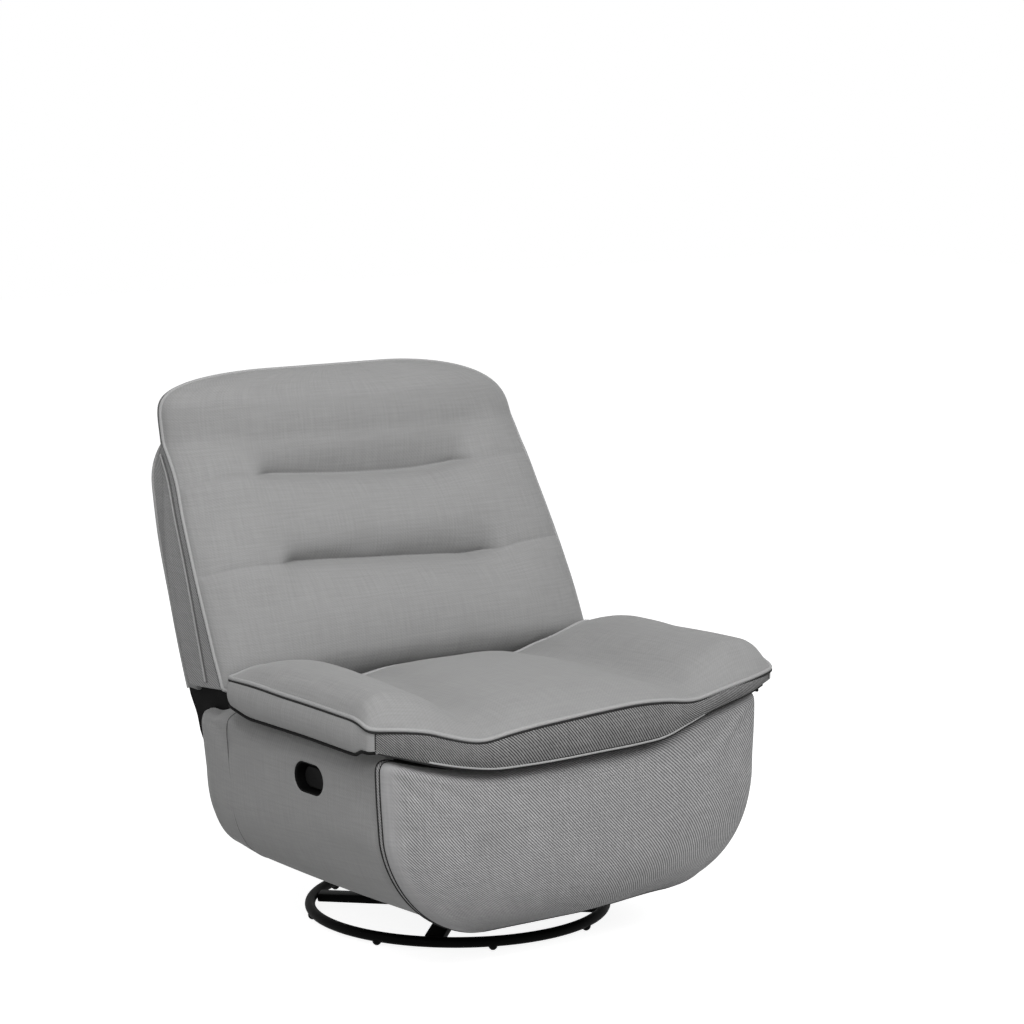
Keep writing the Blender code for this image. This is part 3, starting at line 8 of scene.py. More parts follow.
import bmesh
import bpy
import numpy as np
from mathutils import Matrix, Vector


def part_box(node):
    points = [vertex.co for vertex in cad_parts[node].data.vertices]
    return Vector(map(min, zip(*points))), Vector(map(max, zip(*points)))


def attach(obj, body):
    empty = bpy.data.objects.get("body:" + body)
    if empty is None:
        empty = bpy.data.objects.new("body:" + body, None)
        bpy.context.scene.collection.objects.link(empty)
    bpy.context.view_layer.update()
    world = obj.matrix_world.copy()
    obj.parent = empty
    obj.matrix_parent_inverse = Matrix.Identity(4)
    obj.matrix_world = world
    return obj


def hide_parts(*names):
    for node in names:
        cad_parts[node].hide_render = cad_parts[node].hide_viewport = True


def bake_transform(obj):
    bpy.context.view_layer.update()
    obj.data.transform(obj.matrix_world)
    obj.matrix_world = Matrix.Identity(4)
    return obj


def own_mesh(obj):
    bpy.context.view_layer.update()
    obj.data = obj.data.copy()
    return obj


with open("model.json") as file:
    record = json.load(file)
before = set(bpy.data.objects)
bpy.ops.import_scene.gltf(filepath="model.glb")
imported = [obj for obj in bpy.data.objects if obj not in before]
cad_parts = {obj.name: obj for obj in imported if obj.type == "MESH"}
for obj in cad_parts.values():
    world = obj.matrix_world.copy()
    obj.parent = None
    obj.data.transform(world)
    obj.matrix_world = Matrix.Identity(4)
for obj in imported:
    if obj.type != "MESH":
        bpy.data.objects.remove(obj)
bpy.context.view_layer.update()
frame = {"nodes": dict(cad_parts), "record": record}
NODES = frame["nodes"]
SCENE = bpy.context.scene

# Camera and studio; each light has a name, a place, a size and a power
CAMERA_AZIMUTH = -35.62
CAMERA_DISTANCE = 5.806
CAMERA_HEIGHT = 1.621
CAMERA_YAW = 0.978
CAMERA_PITCH = -8.669
CAMERA_LENS = 114.93
SENSOR = 36.0
LIGHTS = (
    ("high_light", (-1.9, -2.6, 4.0), 3.0, 122.0),
    ("key_light", (1.6, -3.4, 3.4), 2.6, 77.5),
    ("fill_light", (-3.6, -2.2, 2.2), 3.0, 31.5),
)
LIGHT_AIM = (0.0, 0.0, 0.45)
AMBIENT = 0.322
FLOOR_HALF = 12.0
FLOOR_Z = -0.0004
FLOOR_GREY = (0.50, 0.50, 0.50, 1.0)
FLOOR_GLOW = 0.90
WHITE = (1.0, 1.0, 1.0, 1.0)

# Tub sides and footrest panel
TUB_HALF = 0.405
TUB_FLAT_HALF = 0.200
TUB_TURN_Z = 0.270
TUB_BOTTOM_Z = 0.077
TUB_TOP_Z = 0.402
TUB_POWER = 1.75
PANEL_THICK = 0.030
PANEL_FRONT_F = 0.3405
PANEL_REAR_F = -0.263
PANEL_EDGE_ROLL = 0.007
PANEL_EDGE_SHARE = (0.93, 1.0)
PANEL_TOP_ROLL = 0.015
PANEL_TOP_SHARE = (0.86, 1.0)
PANEL_REAR_DROP = 0.016
PANEL_DROP_F = (-0.210, -0.130)
PANEL_DROP_REACH = 0.10
PANEL_CORNER = 0.045
PANEL_CORNER_SHARE = 0.8
PANEL_LOW_CORNER = 0.015
PANEL_LEAN = 0.034
PANEL_LEAN_SHARE = 0.7
PANEL_TAPER = 0.016
PANEL_TAPER_SHARE = (-1.0, -0.55)
PANEL_REAR_POWER = 3.2
PANEL_REAR_SHARE = (-1.0, 1.2)
PANEL_REAR_LIFT = 0.035
PANEL_END_DEG = 62.0
PANEL_CURVE = 0.225
PANEL_SEAM_F = -0.140
PANEL_SEAM_REACH = 0.97
PANEL_CROWD = 0.3
PAD_REAR_F = 0.3455
PAD_EDGE = 0.024
PAD_EDGE_LEAST = 0.45
PAD_HANDLE_SHIFT = ((0.0, 0.0), (0.50, -0.001), (0.82, -0.008), (1.0, -0.010))
PAD_FAR_SHIFT = ((0.0, 0.0), (0.30, -0.003), (0.60, -0.009), (0.85, -0.005), (1.0, -0.005))
PAD_LIFT = 0.011
PAD_LIFT_X = (0.0, 0.20)
PAD_LIFT_END_X = (0.26, 0.38)
PAD_CORNER = 0.022
PAD_CROWN = 0.042
PAD_CROWN_POWER = 3
PAD_ROLL = 0.045
PAD_ROLL_POWER = 2.2
PAD_EDGE_HOLD = 0.7
PAD_TOP_Z = 0.410
PAD_GAP = 0.009
PAD_TOP_SHARP = 2.2
PAD_TOP_POWER = 36.0
PAD_LOW_POWER = 3.0
PAD_LOW_DROP = 0.002

# Seat cushion
SEAT_HALF = 0.430
SEAT_REAR_F = -0.100
SEAT_REAR_MID = 0.024
SEAT_REAR_STEP_X = (0.25, 0.35)
SEAT_CORNER_F = 0.364
SEAT_DECK_F = 0.320
SEAT_DECK_MARK = 0.60
SEAT_BULGE = 0.066
SEAT_BULGE_POWER = 2.5
SEAT_UNDER_Z = 0.3900
SEAT_SIDE_LOWER_Z = 0.4095
SEAT_SIDE_STEP_X = (0.350, 0.395)
SEAT_NOSE_RUN = 0.022
SEAT_REAR_RISE = 0.012
SEAT_REAR_RISE_RUN = 0.09
SEAT_BOXING_BULGE = 0.008
SEAT_SIDE_BULGE = 0.010
SEAT_BULGE_END = 0.060
SEAT_FLARE = 0.009
SEAT_FLARE_F = (0.12, 0.364)
SEAT_REAR_CORNER = 0.022
SEAT_LIFT = 0.003
SEAT_LIFT_SHARE = (0.50, 0.85)
SEAT_LIFT_F = (-0.06, 0.04)
SEAT_CORNER = 0.012
SEAT_FRONT_ROLL = 0.130
SEAT_LOBE_ROLL = 0.080
SEAT_LOBE_SHARE = (0.55, 0.80)
SEAT_TIP_ROLL = 0.056
SEAT_TIP_SHARE = (0.80, 0.95)
SEAT_REAR_ROLL = 0.140
SEAT_ROLL_POWER = 0.9
SEAT_BACK_F = -0.030
SEAT_MID_F = 0.120
SEAT_REAR_SHIFT = 0.085
SEAT_FRONT_SHIFT = -0.040
SEAT_CREASE_REAR = 0.42
SEAT_CREASE_FRONT = 0.50
SEAT_CREASE_WIDTH = 0.05
SEAT_CREASE_RUN = (-0.9, 0.2)
SEAT_CREASE_FADE = (0.9, 0.2)
SEAT_CREASE_HOLD = 0.55
SEAT_EDGE_HOLD = 0.6
SEAT_CROSS = (
    (0.0, 0.4665), (0.30, 0.4625), (0.50, 0.450), (0.66, 0.483), (0.84, 0.506), (0.94, 0.500),
    (0.98, 0.487), (1.0, 0.470),
)
SEAT_BACK_CROSS = (
    (0.0, 0.459), (0.25, 0.456), (0.42, 0.444), (0.60, 0.475), (0.86, 0.504), (0.95, 0.496), (1.0, 0.473),
)
SEAT_REAR_EDGE = ((0.0, 0.440), (0.25, 0.438), (0.42, 0.430), (0.60, 0.448), (0.86, 0.480), (1.0, 0.470))
SEAT_FRONT_EDGE = (
    (-1.0, 0.457), (-0.875, 0.4535), (-0.78, 0.4475), (-0.69, 0.4355), (-0.5625, 0.424), (-0.44, 0.432),
    (-0.31, 0.439), (-0.19, 0.443), (0.0, 0.448), (0.19, 0.4500), (0.31, 0.4465), (0.47, 0.4375),
    (0.62, 0.444), (0.75, 0.449), (0.875, 0.452), (1.0, 0.455),
)
SEAT_NOSE = (
    (-1.0, 0.419), (-0.875, 0.405), (-0.75, 0.390), (-0.625, 0.378), (-0.50, 0.3705), (-0.375, 0.370),
    (0.0, 0.3735), (0.19, 0.3755), (0.31, 0.379), (0.44, 0.394), (0.56, 0.408), (0.69, 0.417),
    (0.81, 0.423), (1.0, 0.437),
)
SEAT_MIDDLE = (0.0, -0.14, 0.0)
# Place of the dark line under the seat's top welt: a seam line that also paints the shadow under the welt
SEAT_SEAM_SHADOW_OUT = 0.0022
SEAT_SEAM_SHADOW_DROP = 0.0048
LOW_WELT_START = -0.345
LOW_WELT_END = 0.235
LOW_SEAM_STOP = 4
# Where the far black strip of painted shadow over a side panel stops short
FAR_GAP_SHADOW_STOP = 20
LOW_WELT_SHIFT = (0.0, -0.0012, 0.0028)
# The next two shifts place the dark lines over the lower welt and along the seat's lower edge: painted
# shadow under the welt and in the gap above the footrest, the first also a seam
LOW_SEAM_SHADOW_SHIFT = (0.0, -0.0012, 0.0062)
LOW_GAP_SHADOW_SHIFT = (0.0, 0.0004, -0.0012)
# Shift of the black strips of painted shadow in the gaps over the side panels
GAP_SHADOW_SHIFT = (0.0, 0.0, -0.0012)

# Backrest
BACK_BOTTOM_Z = 0.410
BACK_REAR_F = -0.327
BACK_SLOPE = 0.430
BACK_CURVE = 0.370
SHELL_THICK = 0.050
SHELL_TOP_Z = 0.880
SHELL_HALF = 0.380
SHELL_CORNER = 0.110
SHELL_ROLL = 0.019
SHELL_ROLL_LOSS = 0.4
SHELL_LOSS_Z = (0.55, 0.70)
SHELL_EDGE_POWER = 10
SHELL_TOP_RUN = 0.03
BOARD_LAYER = 0.015
BACK_LOW_Z = 0.424
BACK_TOP_Z = 0.971
BACK_ARCH_Z = 0.800
BACK_ROW_TURN_Z = 0.860
ROW_CROWD = 0.35
ROW_EASE = 1.35
BACK_HANDLE_SIDE = (
    (0.424, 0.404), (0.50, 0.406), (0.62, 0.406), (0.72, 0.399), (0.80, 0.389), (0.86, 0.390),
    (0.93, 0.397),
)
BACK_FAR_SIDE = ((0.424, 0.413), (0.50, 0.413), (0.60, 0.406), (0.71, 0.397), (0.80, 0.390))
BACK_HANDLE_TOP = 0.170
BACK_FAR_TOP = 0.100
BACK_HANDLE_RISE = 9.0
BACK_FAR_RISE = 3.8
BACK_ARCH_ROUND = 1.8
PIPE_F = -0.150
PIPE_SLOPE = 0.345
PIPE_CURVE = 0.382
BACK_LOW_ROLL = 0.060
BACK_SIDE_RISE = 0.010
BACK_SIDE_RISE_RUN = 0.08
BACK_HIGH_ROLL = 0.050
BACK_CROWN = 0.050
BACK_CROWN_POWER = 6
BACK_CROWN_ROUND = 0.6
LOBE_LIP_POWER = 9
LOBE_BELLY_POWER = 2.4
LOBE_BELLY_ROUND = 0.75
BACK_EDGE = 0.012
# Shift of the dark line behind the back's welt: a seam line that also paints the shadow in the gap
BACK_SEAM_SHADOW_SHIFT = (0.0, 0.0046, 0.0)
CHANNEL_LOW_Z = 0.626
CHANNEL_HIGH_Z = 0.774
CHANNEL_DEPTH = 0.044
CHANNEL_SIDE_DEPTH = 0.008
CHANNEL_REACH = 0.11
CHANNEL_BEND = 0.06
CHANNEL_NEAR = 0.0005
CHANNEL_SIDE_HOLD = 0.5
CHANNEL_SEAM_SHIFT = (0.0, 0.0006, 0.0)
CHANNEL_HIGH_LINE = (
    (-0.40, 0.000), (-0.36, 0.010), (-0.32, 0.016), (-0.215, 0.013), (-0.14, 0.007), (-0.07, 0.002),
    (0.0, -0.002), (0.12, -0.004), (0.21, 0.003), (0.28, 0.008), (0.33, 0.009), (0.40, 0.003),
)
CHANNEL_LOW_LINE = (
    (-0.40, 0.000), (-0.36, 0.009), (-0.26, 0.013), (-0.215, 0.010), (-0.14, 0.006), (-0.06, 0.001),
    (0.03, -0.004), (0.12, -0.010), (0.18, -0.013), (0.23, -0.009), (0.275, 0.000), (0.33, 0.003),
    (0.40, 0.000),
)
TUFT_HALF = 0.205
TUFT_FADE = 0.050
BOXING_DEPTH = ((0.44, 0.046), (0.50, 0.040), (0.62, 0.026), (0.80, 0.021), (0.83, 0.020))
BOXING_LOW_Z = 0.440
BOXING_HIGH_Z = 0.830
BOXING_CORD_STEP = 0.0065
BOXING_CORD_PROUD = 0.0004

# Rear skirt, lining gussets and footrest bridge
SKIRT_TOP = (-0.322, 0.4057)
SKIRT_END = (-0.250, 0.215)
SKIRT_HALF = 0.352
SKIRT_FOLD = 0.007
SKIRT_FOLDS = 5
SKIRT_RIPPLE = 0.0016
SKIRT_RIPPLES = 13
SKIRT_RIPPLE_START = 1.3
SKIRT_THICK_HALF = 0.0011
SKIRT_HEM_HALF = 0.0009
SKIRT_HEM_SHARE = (0.90, 0.93)
GUSSET_X = 0.371
GUSSET_FLARE = 0.006
GUSSET_FLARE_Y = (0.266, 0.310)
GUSSET_SLACK = 0.003
GUSSET_WAVES = (70.0, 55.0)
GUSSET_OUTLINE = (
    (-0.317, 0.409), (-0.175, 0.428), (-0.110, 0.404), (-0.150, 0.330), (-0.215, 0.270), (-0.246, 0.262),
    (-0.284, 0.335),
)
BRIDGE_F = 0.3215
BRIDGE_FOLD = 0.0055
BRIDGE_FOLDS = 3
BRIDGE_HIGH_Z = 0.366
BRIDGE_LOW_Z = 0.322
BRIDGE_HALF = 0.212

# Release handle; the steps are inset and x of each ring of a skin, the lever's x counted from LEVER_X
CUP_F = 0.135
CUP_Z = 0.329
CUP_LENGTH = 0.102
CUP_HEIGHT = 0.064
CUP_RIM = 0.005
HOLE_REACH = (-0.05, 0.06)
CUP_STEPS = (
    (0.0100, -0.3790), (0.0050, -0.3790), (0.0050, -0.4050), (0.0003, -0.4054), (0.0, -0.4068),
    (0.0010, -0.4081), (0.0026, -0.4085), (0.0058, -0.4085), (0.0072, -0.4078), (0.0080, -0.4062),
    (0.0084, -0.4000), (0.0086, -0.3860), (0.0100, -0.3828), (0.0140, -0.3822),
)
LEVER_X = -0.396
LEVER_FRONT_F = 0.171
LEVER_REAR_F = 0.106
LEVER_HALF = 0.0185
LEVER_STEPS = (
    (0.004, 0.0020), (0.0012, 0.0020), (0.0, 0.0010), (0.0, -0.0008), (0.0008, -0.0018), (0.0024, -0.0021),
    (0.0045, -0.0018), (0.0090, -0.0009),
)

# Base ring and springs
RING_RADIUS = 0.270
RING_TUBE = 0.0095
RING_Z = 0.016
GLIDES = ["glide_%d" % n for n in range(1, 9)]
GLIDE_RADIUS = 0.0085
GLIDE_HALF = 0.0095
SPRING_RADIUS = 0.015
SPRING_WIRE = 0.0020
SPRING_TURNS = 5
SPRING_X = 0.085
FRONT_RAIL_F = 0.044
REAR_RAIL_F = -0.140
SPRING_LOW_Z = 0.0705
SPRING_HIGH_Z = 0.1405
SEAT_WIRE = 0.0017
SEAT_WIRE_Z = 0.3872
SEAT_WIRE_SPACING = 0.110
SEAT_WIRE_SWING = 0.022
SEAT_WIRE_WAVES = 5
SEAT_WIRE_START = -0.150
SEAT_WIRE_END = 0.285

# Steel and plastic nodes whose edges are softened, by body
SOFTENED = {
    "base": ["base_cross", "swivel_spindle"],
    "turntable": ["swivel_bearing", "swivel_plate", "trunnion_left", "trunnion_right", "rock_shaft"],
    "chair": [
        "rocker_cheek_left", "rocker_cheek_right", "cross_rail_front", "cross_rail_rear",
        "side_plate_left", "side_plate_right",
    ],
    "backrest": ["back_bracket_left", "back_bracket_right"],
    "footrest": ["footrest_bracket_left", "footrest_bracket_right"],
    "front_cranks": ["front_crank_left", "front_crank_right", "crank_tube"],
    "rear_cranks": ["rear_crank_left", "rear_crank_right"],
    "carrier_arms": ["carrier_arm_left", "carrier_arm_right"],
    "drag_links": ["drag_link_left", "drag_link_right"],
}
SOFT_EDGE = 0.0006
MERGE_DISTANCE = 1e-5
FLAT_DEG = 2
SHARP_DEG = 32
SOFTENED_DEG = 40

# A mark past ON_SIDE lies on a block's side; what fades away from the sides follows SIDE_POWER of the mark
ON_SIDE = 0.999
SIDE_POWER = 8


def smooth(value, low=0.0, high=1.0):
    """Smooth step from 0 at low to 1 at high."""
    share = np.clip((value - low) / (high - low), 0.0, 1.0)
    return share * share * (3.0 - 2.0 * share)


def mix(low, high, share):
    """Straight-line blend."""
    return low + (high - low) * share


def through(table, share):
    """Smooth curve through (position, value) points."""
    xs, ys = np.array(table, float).T
    slopes = np.gradient(ys, xs)
    share = np.clip(share, xs[0], xs[-1])
    low = np.clip(np.searchsorted(xs, share) - 1, 0, len(xs) - 2)
    width = xs[low + 1] - xs[low]
    t = (share - xs[low]) / width
    rise = 3 * t ** 2 - 2 * t ** 3
    return (
        ys[low] * (1 - rise)
        + ys[low + 1] * rise
        + width * slopes[low] * (t ** 3 - 2 * t ** 2 + t)
        + width * slopes[low + 1] * (t ** 3 - t ** 2)
    )


def mirrored(table, share):
    """Smooth curve through (share, value) points that is the same on both sides of zero."""
    right = np.array(table, float)
    return through(np.vstack((right[:0:-1] * (-1.0, 1.0), right)), share)


def corner_cut(distance, radius):
    """How far a round corner draws an edge in, at a distance from the corner's end."""
    left = radius - np.clip(distance, 0.0, radius)
    return radius - np.sqrt(radius ** 2 - left ** 2)


# Node trees written as calls and sums


class Value:
    """A node's output socket that can be used in sums."""

    def __init__(self, graph, node, output=0):
        self.graph = graph
        self.node = node
        self.socket = node.outputs[output] if node.outputs else None

    def __getitem__(self, output):
        return Value(self.graph, self.node, output)

    def math(self, operation, *terms):
        """A Math node on these terms."""
        return self.graph.node("ShaderNodeMath", {"operation": operation}, dict(enumerate(terms)))

    def __add__(self, term):
        return self.math("ADD", self, term)

    def __sub__(self, term):
        return self.math("SUBTRACT", self, term)

    def __rsub__(self, term):
        return self.math("SUBTRACT", term, self)

    def __mul__(self, term):
        return self.math("MULTIPLY", self, term)

    def __truediv__(self, term):
        return self.math("DIVIDE", self, term)

    __radd__ = __add__
    __rmul__ = __mul__


class Graph:
    """A node tree with one way to add a node."""

    def __init__(self, tree):
        self.tree = tree

    def node(self, kind, settings=None, inputs=None, output=0):
        """Add a node: its settings first, then the values or links of its sockets."""
        node = self.tree.nodes.new(kind)
        for key, setting in (settings or {}).items():
            setattr(node, key, setting)
        for key, value in (inputs or {}).items():
            self.join(node.inputs[key], value)
        return Value(self, node, output)

    def join(self, socket, value):
        """Link a Value to a socket, or set the socket's own number."""
        if isinstance(value, Value):
            self.tree.links.new(value.socket, socket)
        else:
            socket.default_value = value

    def point(self, *parts):
        """Vector of two or three numbers."""
        return self.node("ShaderNodeCombineXYZ", None, dict(enumerate(parts)))

    def seen(self):
        """1 for rays from the camera, mirror rays and rays through glass, else 0."""
        path = self.node("ShaderNodeLightPath")
        rays = path["Is Camera Ray"] + path["Is Glossy Ray"] + path["Is Transmission Ray"]
        return rays.math("MINIMUM", rays, 1.0)


class Finish(Graph):
    """A Principled material in the making."""

    def __init__(self, name):
        self.material = bpy.data.materials.new(name)
        self.material.use_nodes = True
        super().__init__(self.material.node_tree)
        self.shader = self.tree.nodes["Principled BSDF"]

    def surface(self, **sockets):
        """Set or link the shader's sockets, with _ for a space in a name."""
        for key, value in sockets.items():
            self.join(self.shader.inputs[key.replace("_", " ")], value)

    def place(self):
        """Object coordinates."""
        return self.node("ShaderNodeTexCoord", None, None, "Object")

    def colours(self, low, high, share):
        """Colour between two colours."""
        ends = {"Factor": share, 6: (*low, 1.0), 7: (*high, 1.0)}
        return self.node("ShaderNodeMix", {"data_type": "RGBA"}, ends, 2)

    def noise(self, at, scale, detail=2.0, roughness=0.5):
        """Noise between 0 and 1."""
        inputs = {"Vector": at, "Scale": scale, "Detail": detail, "Roughness": roughness}
        return self.node("ShaderNodeTexNoise", None, inputs)

    def inside(self, value, none, whole):
        """Share that rises smoothly from 0 at none to 1 at whole."""
        inputs = {"Value": value, "From Min": none, "From Max": whole}
        return self.node("ShaderNodeMapRange", {"interpolation_type": "SMOOTHSTEP"}, inputs)

    def bump(self, height, distance, strength):
        """Feed a height to the shader's normal."""
        inputs = {"Height": height, "Distance": distance, "Strength": strength}
        self.surface(Normal=self.node("ShaderNodeBump", None, inputs))


# Scales of the cloth's streaks, and the distances over which the ribs fade out at an edge
THREADS = 260.0
THREAD_RUN = 14.0
RIB_WANDER = 1.6
STROKE_RUN = 50.0
FADE_TOP = (0.016, 0.046)
FADE_LEFT = (0.012, 0.045)


def woven(name, dark, light, rib, pitch, angle_deg, reach=None):
    """Grey twill on a piece's own weave map: diagonal ribs over warp and weft streaks.

    With reach, the weave's width and height, the ribs fade out at the left and upper edges.
    """
    cloth = Finish(name)
    weave_map = cloth.node("ShaderNodeUVMap", {"uv_map": "weave"})
    split = cloth.node("ShaderNodeSeparateXYZ", None, {0: weave_map})
    u = split["X"]
    v = split["Y"]
    at = cloth.point(u, v)
    warp = cloth.noise(cloth.point(u * THREADS, v * THREAD_RUN), 1.0, 1.0)
    weft = cloth.noise(cloth.point(u * THREAD_RUN, v * THREADS), 1.0, 1.0)
    patch = cloth.noise(at, 14.0)
    turn = math.radians(angle_deg)
    wander = (cloth.noise(at, 60.0, 1.0) - 0.5) * RIB_WANDER
    across = u * math.sin(turn) + v * math.cos(turn)
    along = u * math.cos(turn) - v * math.sin(turn)
    phase = across * (2 * math.pi / pitch) + wander
    wave = phase.math("SINE", phase) * 0.5 + 0.5
    strokes = cloth.noise(cloth.point(along * STROKE_RUN, across / pitch), 1.0)
    ribs = wave * (patch * 0.40 + strokes * 0.70 + 0.42)
    heather = cloth.noise(at, 1400.0, 1.0)
    weave = warp + weft + heather - 1.5
    ribbed = ribs * 0.80 + weave * 0.2
    if reach:
        keep = cloth.inside(v, *(reach[1] - edge for edge in FADE_TOP)) * cloth.inside(u, *FADE_LEFT)
        ribs = ribs * keep
        ribbed = ribbed * keep + (weave * 0.15 + 0.42) * (1.0 - keep)
    shade = (weave * 0.19 + 0.63) * (1.0 - rib) + ribbed * rib
    cloth.surface(
        Base_Color=cloth.colours(dark, light, shade),
        Roughness=0.92,
        Specular_IOR_Level=0.18,
        Sheen_Weight=0.18,
        Sheen_Roughness=0.45,
    )
    cloth.bump(ribs * (0.8 * rib) + (warp + weft) * 0.35 + heather * 0.2, 0.0011, 0.75)
    return cloth.material


def fibre(name, dark, light, scale=900.0):
    """Plain cloth or thread on Object coordinates, between two greys."""
    cloth = Finish(name)
    grain = cloth.noise(cloth.place(), scale)
    shades = cloth.colours((dark, dark, dark), (light, light, light), grain)
    cloth.surface(Base_Color=shades, Roughness=0.93, Specular_IOR_Level=0.15)
    cloth.bump(grain, 0.0006, 0.6)
    return cloth.material


def painted(name, grey, roughness, spread, grain, gloss):
    """Paint or moulded plastic with a fine grain and uneven gloss."""
    coat = Finish(name)
    at = coat.place()
    cloud = coat.noise(at, 18.0, 3.0)
    fine = coat.noise(at, grain)
    pale = 1.8 * grey + 0.002
    coat.surface(
        Base_Color=coat.colours((grey, grey, grey), (pale, pale, pale), cloud * fine),
        Roughness=cloud * spread + (roughness - spread / 2),
        Specular_IOR_Level=gloss,
    )
    coat.bump(fine, 0.0002, 0.35)
    return coat.material


def planed(name, dark, light):
    """Plywood with grain along the chair's depth."""
    wood = Finish(name)
    inputs = {"Vector": wood.place(), "Scale": (90.0, 6.0, 160.0)}
    grain = wood.noise(wood.node("ShaderNodeMapping", None, inputs), 1.0, 4.0, 0.6)
    wood.surface(Base_Color=wood.colours(dark, light, grain), Roughness=0.72 - grain * 0.15)
    wood.bump(grain, 0.0004, 0.5)
    return wood.material


def drawn_wire(name, dark, light):
    """Bare spring steel."""
    wire = Finish(name)
    streak = wire.noise(wire.place(), 240.0, 3.0)
    shades = wire.colours(dark, light, streak)
    wire.surface(Base_Color=shades, Roughness=streak * 0.25 + 0.25, Metallic=1.0)
    return wire.material


GREY_DARK = (0.118, 0.118, 0.119)
GREY_LIGHT = (0.385, 0.384, 0.382)
RIB_DARK = (0.130, 0.130, 0.132)
RIB_LIGHT = (0.550, 0.546, 0.550)
BOXING_DARK = (0.030, 0.030, 0.030)
BOXING_LIGHT = (0.365, 0.362, 0.362)
SHELL_DARK = (0.095, 0.095, 0.096)
SHELL_LIGHT = (0.43, 0.43, 0.43)
FRONT_PITCH = 0.00422
FRONT_ANGLE = 51.0
BOXING_PITCH = 0.0037
BOXING_ANGLE = 42.0
TWILL_PITCH = 0.0042
TWILL_ANGLE = 40.0
BOXING_TWILL = woven("boxing_twill", BOXING_DARK, BOXING_LIGHT, 1.0, BOXING_PITCH, BOXING_ANGLE)
SOFT_TWILL = woven("soft_twill", GREY_DARK, GREY_LIGHT, 0.08, TWILL_PITCH, TWILL_ANGLE)
SIDE_TWILL = woven("side_twill", GREY_DARK, GREY_LIGHT, 0.12, TWILL_PITCH, TWILL_ANGLE)
SHELL_TWILL = woven("shell_twill", SHELL_DARK, SHELL_LIGHT, 0.7, TWILL_PITCH, TWILL_ANGLE)
WELT_CLOTH = fibre("welt_cloth", 0.25, 0.46)
# Near-black thread for seams, also used for the dark lines of painted shadow along welts, creases and gaps
SEAM_AND_SHADE_THREAD = fibre("seam_thread", 0.012, 0.035)
GREY_THREAD = fibre("grey_thread", 0.085, 0.150)
# Black lining cloth, also used for the black strips of painted shadow in the gaps over the side panels
LINING_AND_GAP_SHADE = fibre("black_lining", 0.002, 0.008, 700.0)
BLACK_STEEL = painted("black_steel", 0.001, 0.55, 0.16, 1200.0, 0.03)
BLACK_PLASTIC = painted("black_plastic", 0.0015, 0.60, 0.12, 1600.0, 0.05)
NYLON = painted("bearing_nylon", 0.10, 0.5, 0.1, 900.0, 0.4)
# Plywood darkened to near-black so that boards seen through gaps read as shade: painted shade; the grain is
# its own
SHADE_DARK_PLYWOOD = planed("stained_plywood", (0.004, 0.004, 0.004), (0.014, 0.013, 0.012))
SPRING_STEEL = drawn_wire("spring_steel", (0.22, 0.22, 0.23), (0.42, 0.42, 0.43))
SLOT_FINISH = {"black_steel": BLACK_STEEL, "black_plastic": BLACK_PLASTIC, "bearing_nylon": NYLON}

# Radius, sides and finish of each piece that is a round line
ROUND_PIECES = {
    "seat_welt": (0.0036, 10, WELT_CLOTH),
    # dark line under the top welt: a seam, darkened as painted shadow
    "seat_seam_shadow_line": (0.0019, 8, SEAM_AND_SHADE_THREAD),
    # dark lines at the lower welt and the lower edge: painted shadow, the upper one also a seam
    "seat_lower_seam_shadows": (0.0014, 8, SEAM_AND_SHADE_THREAD),
    "seat_lower_welt": (0.0020, 10, WELT_CLOTH),
    # black strip of painted shadow in the gap between the seat's side and the side panel
    "seat_gap_shadow_strip": (0.0030, 8, LINING_AND_GAP_SHADE),
    "seat_corner_seams": (0.0011, 8, SEAM_AND_SHADE_THREAD),
    "back_welt": (0.0032, 10, WELT_CLOTH),
    # dark line behind the back's welt: a seam, darkened as painted shadow
    "back_seam_shadow_line": (0.0016, 8, SEAM_AND_SHADE_THREAD),
    # dark lines of painted shade in the deep parts of the sewn channels
    "back_crease_shade_lines": (0.0011, 8, SEAM_AND_SHADE_THREAD),
    "back_channel_seams": (0.0008, 8, GREY_THREAD),
    "boxing_joint": (0.0018, 8, GREY_THREAD),
    "boxing_cord": (0.0024, 8, WELT_CLOTH),
    "shell_welt": (0.0030, 10, WELT_CLOTH),
    "side_seam_left": (0.0008, 8, GREY_THREAD),
    "side_seam_right": (0.0008, 8, GREY_THREAD),
    "footrest_seam_line": (0.0018, 8, SEAM_AND_SHADE_THREAD),
    "footrest_face_seam": (0.0013, 8, SEAM_AND_SHADE_THREAD),
    "ring_tube": (RING_TUBE, 20, BLACK_STEEL),
    "seat_wires": (SEAT_WIRE, 8, SPRING_STEEL),
}

# Settings of the cloth simulation, and the point spacing along trim lines
CLOTH = {
    "quality": 4,
    "mass": 0.25,
    "tension_stiffness": 18.0,
    "compression_stiffness": 18.0,
    "shear_stiffness": 6.0,
    "bending_stiffness": 1.2,
    "use_pressure": True,
    "vertex_group_mass": "held",
}
CLOTH_FRAMES = 20
LINE_STEP = 0.006
SHORT_STEP = 0.004


# Meshes


def to_blender(x, f, z):
    """Points from (x, f, z) to Blender's frame."""
    return np.stack(np.broadcast_arrays(x, -np.asarray(f, float), z), axis=-1).astype(float)


def stand(name, data):
    """Object in the scene for a mesh, a lamp or a camera."""
    thing = bpy.data.objects.new(name, data)
    SCENE.collection.objects.link(thing)
    return thing


def coords(mesh):
    """A mesh's points as an array."""
    flat = np.zeros(len(mesh.vertices) * 3)
    mesh.vertices.foreach_get("co", flat)
    return flat.reshape(-1, 3)


